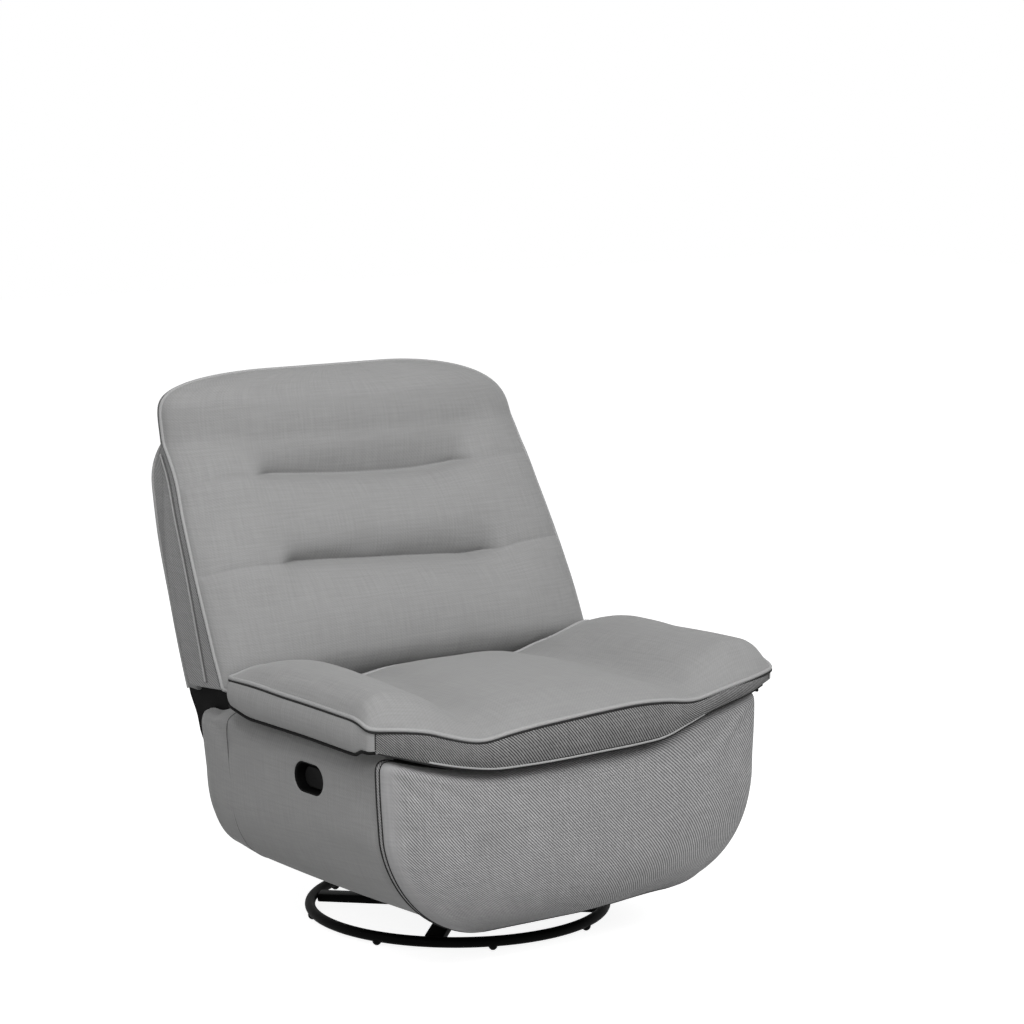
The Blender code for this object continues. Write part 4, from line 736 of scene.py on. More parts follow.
def new_piece(name, points, faces, materials):
    """Object with a mesh that points outwards."""
    mesh = bpy.data.meshes.new(name)
    mesh.from_pydata([tuple(p) for p in points], [], faces)
    for material in materials:
        mesh.materials.append(material)
    bm = bmesh.new()
    bm.from_mesh(mesh)
    if bm.calc_volume(signed=True) < 0:
        bmesh.ops.reverse_faces(bm, faces=bm.faces)
    bm.to_mesh(mesh)
    bm.free()
    mesh.shade_smooth()
    return stand(name, mesh)


def evened(points, closed=False, step=LINE_STEP):
    """The same line with points at an even step, smoothed a little."""
    points = np.asarray(points, float)
    if closed:
        points = np.vstack((points, points[:1]))
    lengths = np.concatenate(([0.0], np.cumsum(np.linalg.norm(np.diff(points, axis=0), axis=1))))
    count = max(4, int(round(lengths[-1] / step)))
    spots = np.linspace(0.0, lengths[-1], count + 1)
    line = np.stack([np.interp(spots, lengths, points[:, n]) for n in range(3)], axis=1)
    if closed:
        line = line[:-1]
        return (np.roll(line, 1, axis=0) + 2 * line + np.roll(line, -1, axis=0)) / 4
    line[1:-1] = (line[:-2] + 2 * line[1:-1] + line[2:]) / 4
    return line


class Block:
    """Closed block of cloth: a cut cube whose points are set by a formula, with a weave map.

    The marks are positions from -1 to 1 along a, b and c. place(a, b, c) gives (x, f, z).
    """

    def __init__(self, name, marks, place, materials, choose=None):
        self.marks = [np.asarray(m, float) for m in marks]
        self.last = [len(m) - 1 for m in self.marks]
        self.index = {}
        self.faces = []
        self.maps = []
        self.slots = []
        self.place = place
        for axis in range(3):
            for end in (0, self.last[axis]):
                self.side(axis, end, choose)
        abc = np.array([[self.marks[n][key[n]] for n in range(3)] for key in self.index])
        self.a, self.b, self.c = abc.T
        self.rest = to_blender(*place(self.a, self.b, self.c))
        self.piece = new_piece(name, self.rest, self.faces, materials)
        self.paint()

    def side(self, axis, end, choose):
        """Faces of one side of the cube, with weave coordinates in metres."""
        first, second = [other for other in range(3) if other != axis]
        grid = [None, None, None]
        grid[first], grid[second] = np.meshgrid(self.marks[first], self.marks[second], indexing="ij")
        grid[axis] = np.full_like(grid[first], self.marks[axis][end])
        points = to_blender(*self.place(*grid))
        step1 = np.linalg.norm(np.diff(points, axis=0), axis=2).mean(axis=1)
        step2 = np.linalg.norm(np.diff(points, axis=1), axis=2).mean(axis=0)
        along1 = np.concatenate(([0.0], np.cumsum(step1)))
        along2 = np.concatenate(([0.0], np.cumsum(step2)))
        self.reach = (along1[-1], along2[-1])
        turn = (end > 0) == (axis != 1)
        for i in range(self.last[first]):
            for j in range(self.last[second]):
                ring = [(i, j), (i + 1, j), (i + 1, j + 1), (i, j + 1)]
                if not turn:
                    ring.reverse()
                face = []
                for p, q in ring:
                    key = [end, end, end]
                    key[first], key[second] = p, q
                    face.append(self.index.setdefault(tuple(key), len(self.index)))
                self.faces.append(face)
                self.maps.append([(along1[p], along2[q]) for p, q in ring])
                self.slots.append(choose(axis, end > 0) if choose else 0)

    def paint(self):
        """Write the weave map and the material of each face."""
        mesh = self.piece.data
        layer = mesh.uv_layers.new(name="weave")
        lookup = {frozenset(face): n for n, face in enumerate(self.faces)}
        for polygon in mesh.polygons:
            number = lookup[frozenset(polygon.vertices)]
            spot = dict(zip(self.faces[number], self.maps[number]))
            polygon.material_index = self.slots[number]
            for loop in polygon.loop_indices:
                layer.data[loop].uv = spot[mesh.loops[loop].vertex_index]

    def line(self, keys, closed=False, step=LINE_STEP):
        """Even points along a chain of grid positions."""
        points = coords(self.piece.data)
        return evened([points[self.index[key]] for key in keys], closed, step)

    def rim(self, c_end):
        """Closed line round the face at one end of c."""
        na, nb, nc = self.last
        k = nc if c_end > 0 else 0
        chain = [(i, 0, k) for i in range(na)]
        chain += [(na, j, k) for j in range(nb)]
        chain += [(i, nb, k) for i in range(na, 0, -1)]
        chain += [(0, j, k) for j in range(nb, 0, -1)]
        return self.line(chain, True)

    def open_face(self, c_end):
        """Which points lie on the face at one end of c, its rim left out."""
        rim = np.maximum(np.abs(self.a), np.abs(self.b)) > ON_SIDE
        return (self.c * c_end > ON_SIDE) & ~rim

    def stuff(self, held, pressure, cap, slack=0.0, even=0):
        """Blow the cover up with the cloth simulation, held by weight, and keep the capped result.

        even is the number of passes that draw each point's shift half way to its neighbours' mean.
        """
        piece = self.piece
        group = piece.vertex_groups.new(name="held")
        for weight in np.unique(held):
            if weight > 0:
                group.add([int(n) for n in np.flatnonzero(held == weight)], float(weight), "REPLACE")
        cover = piece.modifiers.new("cover", "CLOTH")
        for key, setting in CLOTH.items():
            setattr(cover.settings, key, setting)
        cover.settings.uniform_pressure_force = pressure
        cover.settings.shrink_min = -slack
        cover.settings.effector_weights.gravity = 0.0
        cover.point_cache.frame_start = 1
        cover.point_cache.frame_end = CLOTH_FRAMES
        for number in range(1, CLOTH_FRAMES + 1):
            SCENE.frame_set(number)
        blown = piece.evaluated_get(bpy.context.evaluated_depsgraph_get())
        moved = coords(blown.to_mesh()) - self.rest
        far = np.linalg.norm(moved, axis=1, keepdims=True)
        moved = moved * (cap * np.tanh(far / cap) / np.maximum(far, 1e-9))
        links = np.array([edge.vertices[:] for edge in piece.data.edges])
        count = np.bincount(links.ravel(), minlength=len(moved))[:, None]
        free = (1.0 - held)[:, None]
        for _ in range(even):
            total = np.zeros_like(moved)
            np.add.at(total, links[:, 0], moved[links[:, 1]])
            np.add.at(total, links[:, 1], moved[links[:, 0]])
            moved = mix(moved, total / count, 0.5 * free)
        blown.to_mesh_clear()
        piece.modifiers.remove(cover)
        piece.vertex_groups.remove(group)
        SCENE.frame_set(1)
        piece.data.vertices.foreach_set("co", (self.rest + moved).ravel())
        piece.data.update()

    def refine(self):
        """One subdivision, the same in the view and the render."""
        finer = self.piece.modifiers.new("finer", "SUBSURF")
        finer.levels = 1
        finer.render_levels = 1


def eased_marks(count, crowd=0.22):
    """Marks from -1 to 1 that stand closer near both ends."""
    t = np.linspace(-1.0, 1.0, count + 1)
    return t * (1.0 + crowd - crowd * t ** 2)


def even_marks(count):
    """Even marks from -1 to 1."""
    return np.linspace(-1.0, 1.0, count)


# Geometry Nodes for what follows a line or repeats


def new_tree(name, sizes):
    """Geometry tree with named size inputs. Returns the graph and its inputs."""
    tree = bpy.data.node_groups.new(name, "GeometryNodeTree")
    graph = Graph(tree)
    tree.interface.new_socket("Geometry", in_out="INPUT", socket_type="NodeSocketGeometry")
    tree.interface.new_socket("Geometry", in_out="OUTPUT", socket_type="NodeSocketGeometry")
    for size in sizes:
        tree.interface.new_socket(size, in_out="INPUT", socket_type="NodeSocketFloat")
    tree.interface.new_socket("Finish", in_out="INPUT", socket_type="NodeSocketMaterial")
    return graph, graph.node("NodeGroupInput")


def swept(graph, line, radius, sides):
    """Round tube along a curve."""
    ring = graph.node("GeometryNodeCurvePrimitiveCircle", None, {"Resolution": sides, "Radius": radius})
    inputs = {"Curve": line, "Profile Curve": ring, "Fill Caps": True}
    return graph.node("GeometryNodeCurveToMesh", None, inputs)


def on_points(graph, given, shape):
    """A shape on each point that the tree is given."""
    inputs = {"Points": given["Geometry"], "Instance": shape}
    return graph.node("GeometryNodeInstanceOnPoints", None, inputs)


def close_tree(graph, given, shape):
    """End a tree in Realize Instances and Set Material."""
    real = graph.node("GeometryNodeRealizeInstances", None, {0: shape})
    rounded = graph.node("GeometryNodeSetShadeSmooth", None, {0: real})
    finished = graph.node("GeometryNodeSetMaterial", None, {0: rounded, "Material": given["Finish"]})
    graph.node("NodeGroupOutput", None, {0: finished})
    return graph.tree


def round_line_tree():
    """Round cord, wire or tube along a chain of edges."""
    graph, given = new_tree("round_line", ("Radius", "Sides"))
    line = graph.node("GeometryNodeMeshToCurve", None, {0: given["Geometry"]})
    return close_tree(graph, given, swept(graph, line, given["Radius"], given["Sides"]))


def dome_tree():
    """Round domes on points, for the floor glides."""
    graph, given = new_tree("domes", ("Half X", "Half Y", "Half Z"))
    size = graph.point(given["Half X"], given["Half Y"], given["Half Z"])
    ball = graph.node("GeometryNodeMeshUVSphere", None, {"Segments": 16, "Rings": 8, "Radius": 1.0})
    dome = graph.node("GeometryNodeTransform", None, {0: ball, "Scale": size})
    return close_tree(graph, given, on_points(graph, given, dome))


def coil_tree():
    """Compression springs standing on points."""
    graph, given = new_tree("coil_springs", ("Radius", "Wire", "Height", "Turns"))
    inputs = {
        "Resolution": 28,
        "Rotations": given["Turns"],
        "Start Radius": given["Radius"],
        "End Radius": given["Radius"],
        "Height": given["Height"],
    }
    coil = graph.node("GeometryNodeCurveSpiral", None, inputs)
    return close_tree(graph, given, on_points(graph, given, swept(graph, coil, given["Wire"], 8)))


ROUND_LINE = round_line_tree()
DOMES = dome_tree()
COILS = coil_tree()


def grown(name, tree, chains, sizes, finish, closed=False):
    """Plain mesh grown by a tree from chains of points, or from loose points when chains are single."""
    points = []
    edges = []
    for chain in chains:
        start = len(points)
        points += [tuple(p) for p in chain]
        edges += [(start + n, start + n + 1) for n in range(len(chain) - 1)]
        if closed:
            edges.append((len(points) - 1, start))
    seed = bpy.data.meshes.new(name + "_seed")
    seed.from_pydata(points, edges, [])
    holder = stand(name + "_seed", seed)
    grow = holder.modifiers.new("grow", "NODES")
    grow.node_group = tree
    for item in tree.interface.items_tree:
        if item.in_out == "INPUT" and item.name in sizes:
            grow[item.identifier] = float(sizes[item.name])
        elif item.in_out == "INPUT" and item.name == "Finish":
            grow[item.identifier] = finish
    bpy.context.view_layer.update()
    mesh = bpy.data.meshes.new_from_object(holder.evaluated_get(bpy.context.evaluated_depsgraph_get()))
    bpy.data.objects.remove(holder, do_unlink=True)
    bpy.data.meshes.remove(seed)
    mesh.name = name
    bm = bmesh.new()
    bm.from_mesh(mesh)
    bmesh.ops.recalc_face_normals(bm, faces=bm.faces)
    bm.to_mesh(mesh)
    bm.free()
    return stand(name, mesh)


def cord(name, chains, closed=False):
    """Round line along chains of points, with the size and finish listed for the piece."""
    radius, sides, finish = ROUND_PIECES[name]
    return grown(name, ROUND_LINE, chains, {"Radius": radius, "Sides": sides}, finish, closed)


def dress(piece, body, slot, *nodes):
    """Ride a finished piece on its body and hide the nodes it stands for; slot, which names its finish, is
    not used.
    """
    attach(piece, body)
    if nodes:
        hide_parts(*nodes)


# Seat cushion


def seat_front(x):
    """Forward reach of the seat's front edge."""
    return SEAT_CORNER_F + SEAT_BULGE * (1.0 - np.abs(x / SEAT_HALF) ** SEAT_BULGE_POWER)


def seat_rear(x):
    """Rear edge of the seat, further back between the lobes."""
    return SEAT_REAR_F - SEAT_REAR_MID * (1.0 - smooth(np.abs(x), *SEAT_REAR_STEP_X))


def seat_lean(share, forward):
    """Place across the seat, shifted as its hollow wanders from rear to front."""
    return share - (1.0 - share ** 2) * mix(SEAT_REAR_SHIFT, SEAT_FRONT_SHIFT, forward)


def seat_top(x, f):
    """Height of the seat's top face."""
    share = x / SEAT_HALF
    roll = mix(SEAT_FRONT_ROLL, SEAT_LOBE_ROLL, smooth(np.abs(share), *SEAT_LOBE_SHARE))
    roll = mix(roll, SEAT_TIP_ROLL, smooth(np.abs(share), *SEAT_TIP_SHARE))
    to_front = np.clip((seat_front(x) - f) / roll, 0.0, 1.0)
    to_rear = np.clip((f - seat_rear(x)) / SEAT_REAR_ROLL, 0.0, 1.0)
    forward = smooth(f, SEAT_BACK_F, SEAT_MID_F)
    leaned = seat_lean(share, smooth(f, SEAT_REAR_F, SEAT_DECK_F))
    middle = mix(mirrored(SEAT_BACK_CROSS, leaned), mirrored(SEAT_CROSS, leaned), forward)
    middle = middle + SEAT_LIFT * smooth(share, *SEAT_LIFT_SHARE) * smooth(f, *SEAT_LIFT_F)
    height = mix(through(SEAT_FRONT_EDGE, share), middle, np.sin(to_front * math.pi / 2) ** SEAT_ROLL_POWER)
    return mix(mirrored(SEAT_REAR_EDGE, leaned), height, np.sin(to_rear * math.pi / 2) ** SEAT_ROLL_POWER)


def seat_under(x, f):
    """Height of the seat's lower face: flat on the springs, stepped over the sides, low at the nose."""
    rear = 1.0 - smooth(f, SEAT_REAR_F, SEAT_REAR_F + SEAT_REAR_RISE_RUN)
    side = SEAT_SIDE_LOWER_Z + SEAT_REAR_RISE * rear
    flat = mix(SEAT_UNDER_Z, side, smooth(np.abs(x), *SEAT_SIDE_STEP_X))
    nose = through(SEAT_NOSE, x / SEAT_HALF)
    return mix(flat, nose, smooth(f, SEAT_DECK_F, SEAT_DECK_F + SEAT_NOSE_RUN))


def seat_place(a, b, c):
    """a across, b towards the front, c up."""
    x = a * SEAT_HALF
    deck = mix(seat_rear(x), SEAT_DECK_F, (b + 1.0) / (1.0 + SEAT_DECK_MARK))
    nose = mix(SEAT_DECK_F, seat_front(x), (b - SEAT_DECK_MARK) / (1.0 - SEAT_DECK_MARK))
    f = np.where(b <= SEAT_DECK_MARK, deck, nose)
    z = mix(seat_under(x, f), seat_top(x, f), (c + 1.0) / 2.0)
    behind = f - seat_rear(x)
    cut = corner_cut(seat_front(x) - f, SEAT_CORNER) + corner_cut(behind, SEAT_REAR_CORNER)
    near_side = np.abs(a) ** SIDE_POWER
    x = x * (1.0 + SEAT_FLARE / SEAT_HALF * smooth(f, *SEAT_FLARE_F)) - np.sign(a) * near_side * cut
    swell = 1.0 - c * c
    ends = smooth(seat_front(x) - f, 0.0, SEAT_BULGE_END) * smooth(behind, 0.0, SEAT_REAR_CORNER)
    x = x + np.where(np.abs(a) > ON_SIDE, np.sign(a) * SEAT_SIDE_BULGE * swell * ends, 0.0)
    f = f + np.where(b > ON_SIDE, SEAT_BOXING_BULGE * swell * (1.0 - near_side), 0.0)
    return x, f, z


def boxing_slot(axis, high):
    """Soft cloth on top and below, ribbed cloth on the front boxing."""
    return 1 if axis == 1 and high else 0


def make_seat():
    """Seat cushion with its two welts, dark seam lines that are also painted shadow under the welts and in
    the gap above the footrest, a black strip of painted shadow in the gap over each side panel, and corner
    seams.
    """
    deck_marks = np.linspace(-1.0, SEAT_DECK_MARK, 45)[:-1]
    marks = (
        eased_marks(104),
        np.concatenate((deck_marks, np.linspace(SEAT_DECK_MARK, 1.0, 23))),
        even_marks(11),
    )
    seat = Block("seat_cover", marks, seat_place, [SOFT_TWILL, BOXING_TWILL], boxing_slot)
    leaned = seat_lean(seat.a, smooth(seat.b, -1.0, SEAT_DECK_MARK))
    crease = mix(SEAT_CREASE_REAR, SEAT_CREASE_FRONT, smooth(seat.b, *SEAT_CREASE_RUN))
    valley = np.exp(-((np.abs(leaned) - crease) / SEAT_CREASE_WIDTH) ** 2)
    valley = valley * smooth(seat.b, *SEAT_CREASE_FADE)
    edges = np.where(np.abs(seat.c) > ON_SIDE, 1.0, SEAT_EDGE_HOLD)
    held = np.where(seat.open_face(1), np.round(SEAT_CREASE_HOLD * valley, 1), edges)
    seat.stuff(held, pressure=1.6, cap=0.022, slack=0.01, even=24)
    seat.refine()
    rim = seat.rim(1)
    out = (rim - SEAT_MIDDLE) * (1.0, 1.0, 0.0)
    out /= np.linalg.norm(out, axis=1, keepdims=True)
    na, nb, nc = seat.last
    lower = seat.line([(i, nb, 0) for i in range(1, na - LOW_SEAM_STOP)])
    middle = lower[(lower[:, 0] > LOW_WELT_START) & (lower[:, 0] < LOW_WELT_END)]
    # Black strips of painted shadow along the seat's lower side edges, in the gaps over the side panels
    side_ends = ((0, nb + 1), (na, nb - FAR_GAP_SHADOW_STOP))
    sides = [seat.line([(i, j, 0) for j in range(1, last)]) for i, last in side_ends]
    corners = [seat.line([(i, nb, k) for k in range(1, nc)], step=SHORT_STEP) for i in (0, na)]
    trims = [
        cord("seat_welt", [rim], True),
        # Dark seam line under the top welt, also painted shadow
        cord("seat_seam_shadow_line", [rim + out * SEAT_SEAM_SHADOW_OUT - (0.0, 0.0, SEAT_SEAM_SHADOW_DROP)], True),
        # Dark lines of painted shadow over the lower welt and in the gap above the footrest
        cord("seat_lower_seam_shadows", [middle + LOW_SEAM_SHADOW_SHIFT, lower + LOW_GAP_SHADOW_SHIFT]),
        cord("seat_lower_welt", [middle + LOW_WELT_SHIFT]),
        cord("seat_gap_shadow_strip", [side + GAP_SHADOW_SHIFT for side in sides]),
        cord("seat_corner_seams", corners),
    ]
    dress(seat.piece, "chair", "upholstery_fabric", "seat_cushion")
    for trim in trims:
        dress(trim, "chair", "upholstery_fabric")


# Backrest


def back_rear(z):
    """Forward position of the back's rear face."""
    up = z - BACK_BOTTOM_Z
    return BACK_REAR_F - (BACK_SLOPE * up - BACK_CURVE * up * up)


def arched_rows(rows, top, corner, steps):
    """Straight rows, then rows round a quarter circle up to the top."""
    turns = np.radians(np.linspace(0.0, 90.0, steps + 1)[1:])
    return np.concatenate((*rows, top - corner + corner * np.sin(turns)))


def eased_rows(low, high, count):
    """Rows that stand closer near both ends."""
    return mix(low, high, (eased_marks(count, ROW_CROWD) + 1.0) / 2.0)


def row_height(b, rows):
    """Height at a mark when the rows have even marks."""
    return np.interp(b, even_marks(len(rows)), rows)


BACK_ROWS = arched_rows(
    (
        eased_rows(BACK_LOW_Z, CHANNEL_LOW_Z, 26)[:-1],
        eased_rows(CHANNEL_LOW_Z, CHANNEL_HIGH_Z, 22)[:-1],
        mix(CHANNEL_HIGH_Z, BACK_ROW_TURN_Z, np.linspace(0.0, 1.0, 11) ** ROW_EASE),
    ),
    BACK_TOP_Z,
    BACK_TOP_Z - BACK_ROW_TURN_Z,
    18,
)
SHELL_ROWS = arched_rows(
    (
        [BACK_BOTTOM_Z, BACK_BOTTOM_Z + 0.008],
        np.linspace(BACK_BOTTOM_Z + 0.02, SHELL_TOP_Z - SHELL_CORNER, 34),
    ),
    SHELL_TOP_Z,
    SHELL_CORNER,
    14,
)


def back_half(z, a):
    """Half width of the back cushion at a height: sides under a flat arch, fuller on the handle's side."""
    half = np.where(a < 0.0, through(BACK_HANDLE_SIDE, z), through(BACK_FAR_SIDE, z))
    up = np.clip((z - BACK_ARCH_Z) / (BACK_TOP_Z - BACK_ARCH_Z), 0.0, 1.0)
    arch = (1.0 - up ** np.where(a < 0.0, BACK_HANDLE_RISE, BACK_FAR_RISE)) ** (1.0 / BACK_ARCH_ROUND)
    return mix(np.where(a < 0.0, BACK_HANDLE_TOP, BACK_FAR_TOP), half, arch)


def back_lobe(z):
    """Share of the crown at a height, down to nothing at each channel."""
    share = np.ones_like(z)
    ends = (BACK_LOW_Z, CHANNEL_LOW_Z, CHANNEL_HIGH_Z, BACK_TOP_Z)
    for low, high in zip(ends, ends[1:]):
        across = np.clip((2.0 * z - low - high) / (high - low), -1.0, 1.0)
        lip = np.sqrt(1.0 - np.maximum(across, 0.0) ** LOBE_LIP_POWER)
        belly = (1.0 - np.maximum(-across, 0.0) ** LOBE_BELLY_POWER) ** LOBE_BELLY_ROUND
        share = np.where((z >= low) & (z <= high), np.where(across > 0.0, lip, belly), share)
    return share


def cushion_rear(z):
    """Forward position of the back cushion's rear face."""
    return back_rear(z) + SHELL_THICK + BOARD_LAYER


def pipe_f(z):
    """Forward position of the back cushion's edge welt."""
    up = z - BACK_LOW_Z
    return np.maximum(PIPE_F - PIPE_SLOPE * up - PIPE_CURVE * up * up, cushion_rear(z) + BACK_EDGE)


def channel_shift(x, z):
    """How far each sewn channel rises above its level along its wavy line."""
    low = through(CHANNEL_LOW_LINE, x) * (1.0 - smooth(np.abs(z - CHANNEL_LOW_Z), 0.0, CHANNEL_BEND))
    high = through(CHANNEL_HIGH_LINE, x) * (1.0 - smooth(np.abs(z - CHANNEL_HIGH_Z), 0.0, CHANNEL_BEND))
    return low + high


def back_place(a, b, c):
    """a across, b up, c towards the front."""
    z = row_height(b, BACK_ROWS)
    x = a * back_half(z, a)
    ahead = (c + 1.0) / 2.0
    pipe = pipe_f(z)
    inner = mix(cushion_rear(z), pipe, ahead)
    rim = np.maximum(0.0, 1.0 - np.abs(a) ** BACK_CROWN_POWER) ** BACK_CROWN_ROUND
    low_end = np.clip((z - BACK_LOW_Z) / BACK_LOW_ROLL, 0.0, 1.0)
    high_end = np.clip((BACK_TOP_Z - z) / BACK_HIGH_ROLL, 0.0, 1.0)
    tuft = 1.0 - smooth(np.abs(x), TUFT_HALF, TUFT_HALF + TUFT_FADE)
    near = (z > CHANNEL_LOW_Z - CHANNEL_REACH) & (z < CHANNEL_HIGH_Z + CHANNEL_REACH)
    pull = np.where(near, (1.0 - back_lobe(z)) * mix(CHANNEL_SIDE_DEPTH, CHANNEL_DEPTH, tuft), 0.0)
    crown = BACK_CROWN * rim * (1.0 - (1.0 - low_end) ** 2) * np.sqrt(high_end)
    front = pipe + np.maximum(0.0, crown - pull)
    face = c > ON_SIDE
    low_side = np.abs(a) ** SIDE_POWER * (1.0 - smooth(z, BACK_LOW_Z, BACK_LOW_Z + BACK_SIDE_RISE_RUN))
    rise = BACK_SIDE_RISE * low_side * ahead
    return x, np.where(face, front, inner), np.where(face, z + channel_shift(x, z), z) + rise


def edge_slot(axis, high):
    """Soft cloth on the faces, ribbed cloth round the edges."""
    return 0 if axis == 2 else 1


def make_back():
    """Back cushion with its edge welt, sewn channels with dark lines of painted shade in their deep
    creases, a dark seam line behind the welt that is also painted shadow, and the joint and cord on its
    boxing.
    """
    marks = (eased_marks(92), even_marks(len(BACK_ROWS)), even_marks(6))
    back = Block("back_cover", marks, back_place, [SOFT_TWILL, SHELL_TWILL], edge_slot)
    z = row_height(back.b, BACK_ROWS)
    channel = np.minimum(np.abs(z - CHANNEL_LOW_Z), np.abs(z - CHANNEL_HIGH_Z)) < CHANNEL_NEAR
    deep = np.abs(back.rest[:, 0]) < TUFT_HALF
    sewn = np.where(channel, np.where(deep, 1.0, CHANNEL_SIDE_HOLD), 0.0)
    held = np.where(back.open_face(1), sewn, 1.0)
    back.stuff(held, pressure=1.6, cap=0.022, slack=0.01, even=14)
    back.refine()
    rim = back.rim(1)
    na, _, nc = back.last
    creases = []
    side_seams = []
    for level in (CHANNEL_LOW_Z, CHANNEL_HIGH_Z):
        row = int(np.argmin(np.abs(BACK_ROWS - level)))
        line = back.line([(i, row, nc) for i in range(2, na - 1)]) + CHANNEL_SEAM_SHIFT
        creases.append(line[np.abs(line[:, 0]) < TUFT_HALF])
        side_seams.append(line[line[:, 0] < -TUFT_HALF])
        side_seams.append(line[line[:, 0] > TUFT_HALF])
    z = np.linspace(BOXING_LOW_Z, BOXING_HIGH_Z, 60)
    gap = through(BOXING_DEPTH, z)
    cord_f = np.maximum(pipe_f(z) - gap - BOXING_CORD_STEP, back_rear(z) + SHELL_THICK)
    joints = []
    cords = []
    for a in (-1.0, 1.0):
        x = a * (back_half(z, np.full_like(z, a)) + BOXING_CORD_PROUD)
        joints.append(to_blender(x, pipe_f(z) - gap, z))
        cords.append(to_blender(x, cord_f, z))
    trims = [
        cord("back_welt", [rim], True),
        # Dark seam line behind the welt, also painted shadow
        cord("back_seam_shadow_line", [rim + BACK_SEAM_SHADOW_SHIFT], True),
        # Dark lines of painted shade along the deep creases
        cord("back_crease_shade_lines", creases),
        cord("back_channel_seams", side_seams),
        cord("boxing_joint", joints),
        cord("boxing_cord", cords),
    ]
    dress(back.piece, "backrest", "upholstery_fabric", "back_cushion")
    for trim in trims:
        dress(trim, "backrest", "upholstery_fabric")


def shell_place(a, b, c):
    """a across, b up, c towards the front."""
    z = row_height(b, SHELL_ROWS)
    over = np.clip(z - (SHELL_TOP_Z - SHELL_CORNER), 0.0, SHELL_CORNER)
    x = a * (SHELL_HALF - SHELL_CORNER + np.sqrt(np.maximum(0.0, SHELL_CORNER ** 2 - over ** 2)))
    edge = np.maximum(np.abs(a) ** SHELL_EDGE_POWER, smooth(z, SHELL_TOP_Z - SHELL_TOP_RUN, SHELL_TOP_Z))
    roll = SHELL_ROLL * (1.0 - SHELL_ROLL_LOSS * smooth(z, *SHELL_LOSS_Z)) * edge
    return x, back_rear(z) + SHELL_THICK * (c + 1.0) / 2.0 + roll * (1.0 - c) / 2.0, z


def make_shell():
    """Upholstered rear shell with a welt round its outside panel."""
    marks = (eased_marks(72), even_marks(len(SHELL_ROWS)), even_marks(8))
    shell = Block("back_shell_cover", marks, shell_place, [SIDE_TWILL, SHELL_TWILL], edge_slot)
    shell.stuff(np.where(shell.open_face(-1), 0.0, 1.0), pressure=1.6, cap=0.010, slack=0.004)
    shell.refine()
    na, nb, _ = shell.last
    chain = [(0, j, 0) for j in range(nb)]
    chain += [(i, nb, 0) for i in range(na)]
    chain += [(na, j, 0) for j in range(nb, -1, -1)]
    welt = cord("shell_welt", [shell.line(chain)])
    dress(shell.piece, "backrest", "upholstery_fabric", "back_shell")
    dress(welt, "backrest", "upholstery_fabric")


# Tub sides and footrest


def tub_profile(turn_deg, inset, power, lift):
    """Point (half width, z) of the tub's lower curve, inset from its outside and lifted at the bottom."""
    turn = np.radians(turn_deg)
    power = 2.0 / power
    x = TUB_FLAT_HALF + (TUB_HALF - TUB_FLAT_HALF - inset) * np.cos(turn) ** power
    z = TUB_TURN_Z - (TUB_TURN_Z - TUB_BOTTOM_Z - inset - lift) * np.sin(turn) ** power
    return x, z


def tub_half_width(z):
    """Half width of the tub's outside at a height."""
    drop = np.clip((TUB_TURN_Z - z) / (TUB_TURN_Z - TUB_BOTTOM_Z), 0.0, 1.0)
    return TUB_FLAT_HALF + (TUB_HALF - TUB_FLAT_HALF) * (1.0 - drop ** TUB_POWER) ** (1.0 / TUB_POWER)


def side_panel_place(sign):
    """Formula for one side panel: a runs from rear to front, b up, c outwards."""
    straight = TUB_TOP_Z - TUB_TURN_Z
    whole = straight + PANEL_CURVE

    def place(a, b, c):
        out = (c + 1.0) / 2.0
        down = (1.0 - b) / 2.0 * whole
        edge = np.maximum(np.abs(a), np.abs(b))
        top_roll = PANEL_TOP_ROLL * smooth(b, *PANEL_TOP_SHARE) ** 2
        roll = np.maximum(PANEL_EDGE_ROLL * smooth(edge, *PANEL_EDGE_SHARE), top_roll)
        inset = PANEL_THICK * (1.0 - out) + roll * out
        turn = np.clip((down - straight) / PANEL_CURVE, 0.0, 1.0) * PANEL_END_DEG
        boxy = 1.0 - smooth(a, *PANEL_REAR_SHARE)
        power = mix(TUB_POWER, PANEL_REAR_POWER, boxy)
        low_x, low_z = tub_profile(turn, inset, power, PANEL_REAR_LIFT * boxy)
        taper = PANEL_TAPER * (1.0 - smooth(a, *PANEL_TAPER_SHARE)) * out
        x = np.where(down <= straight, TUB_HALF - inset, low_x) - taper
        z = np.where(down <= straight, TUB_TOP_Z - down, low_z)
        corners = PANEL_CORNER_SHARE * corner_cut(down, PANEL_CORNER)
        corners = corners + corner_cut(whole - down, PANEL_LOW_CORNER)
        rear = PANEL_REAR_F + corners + PANEL_LEAN * smooth(down, 0.0, PANEL_LEAN_SHARE * whole)
        f = mix(rear, PANEL_FRONT_F, (a + 1.0) / 2.0)
        near_rear = (1.0 - smooth(f, *PANEL_DROP_F)) * (1.0 - smooth(down, 0.0, PANEL_DROP_REACH))
        sag = PANEL_REAR_DROP * near_rear
        return sign * x, f, z - sag

    return place


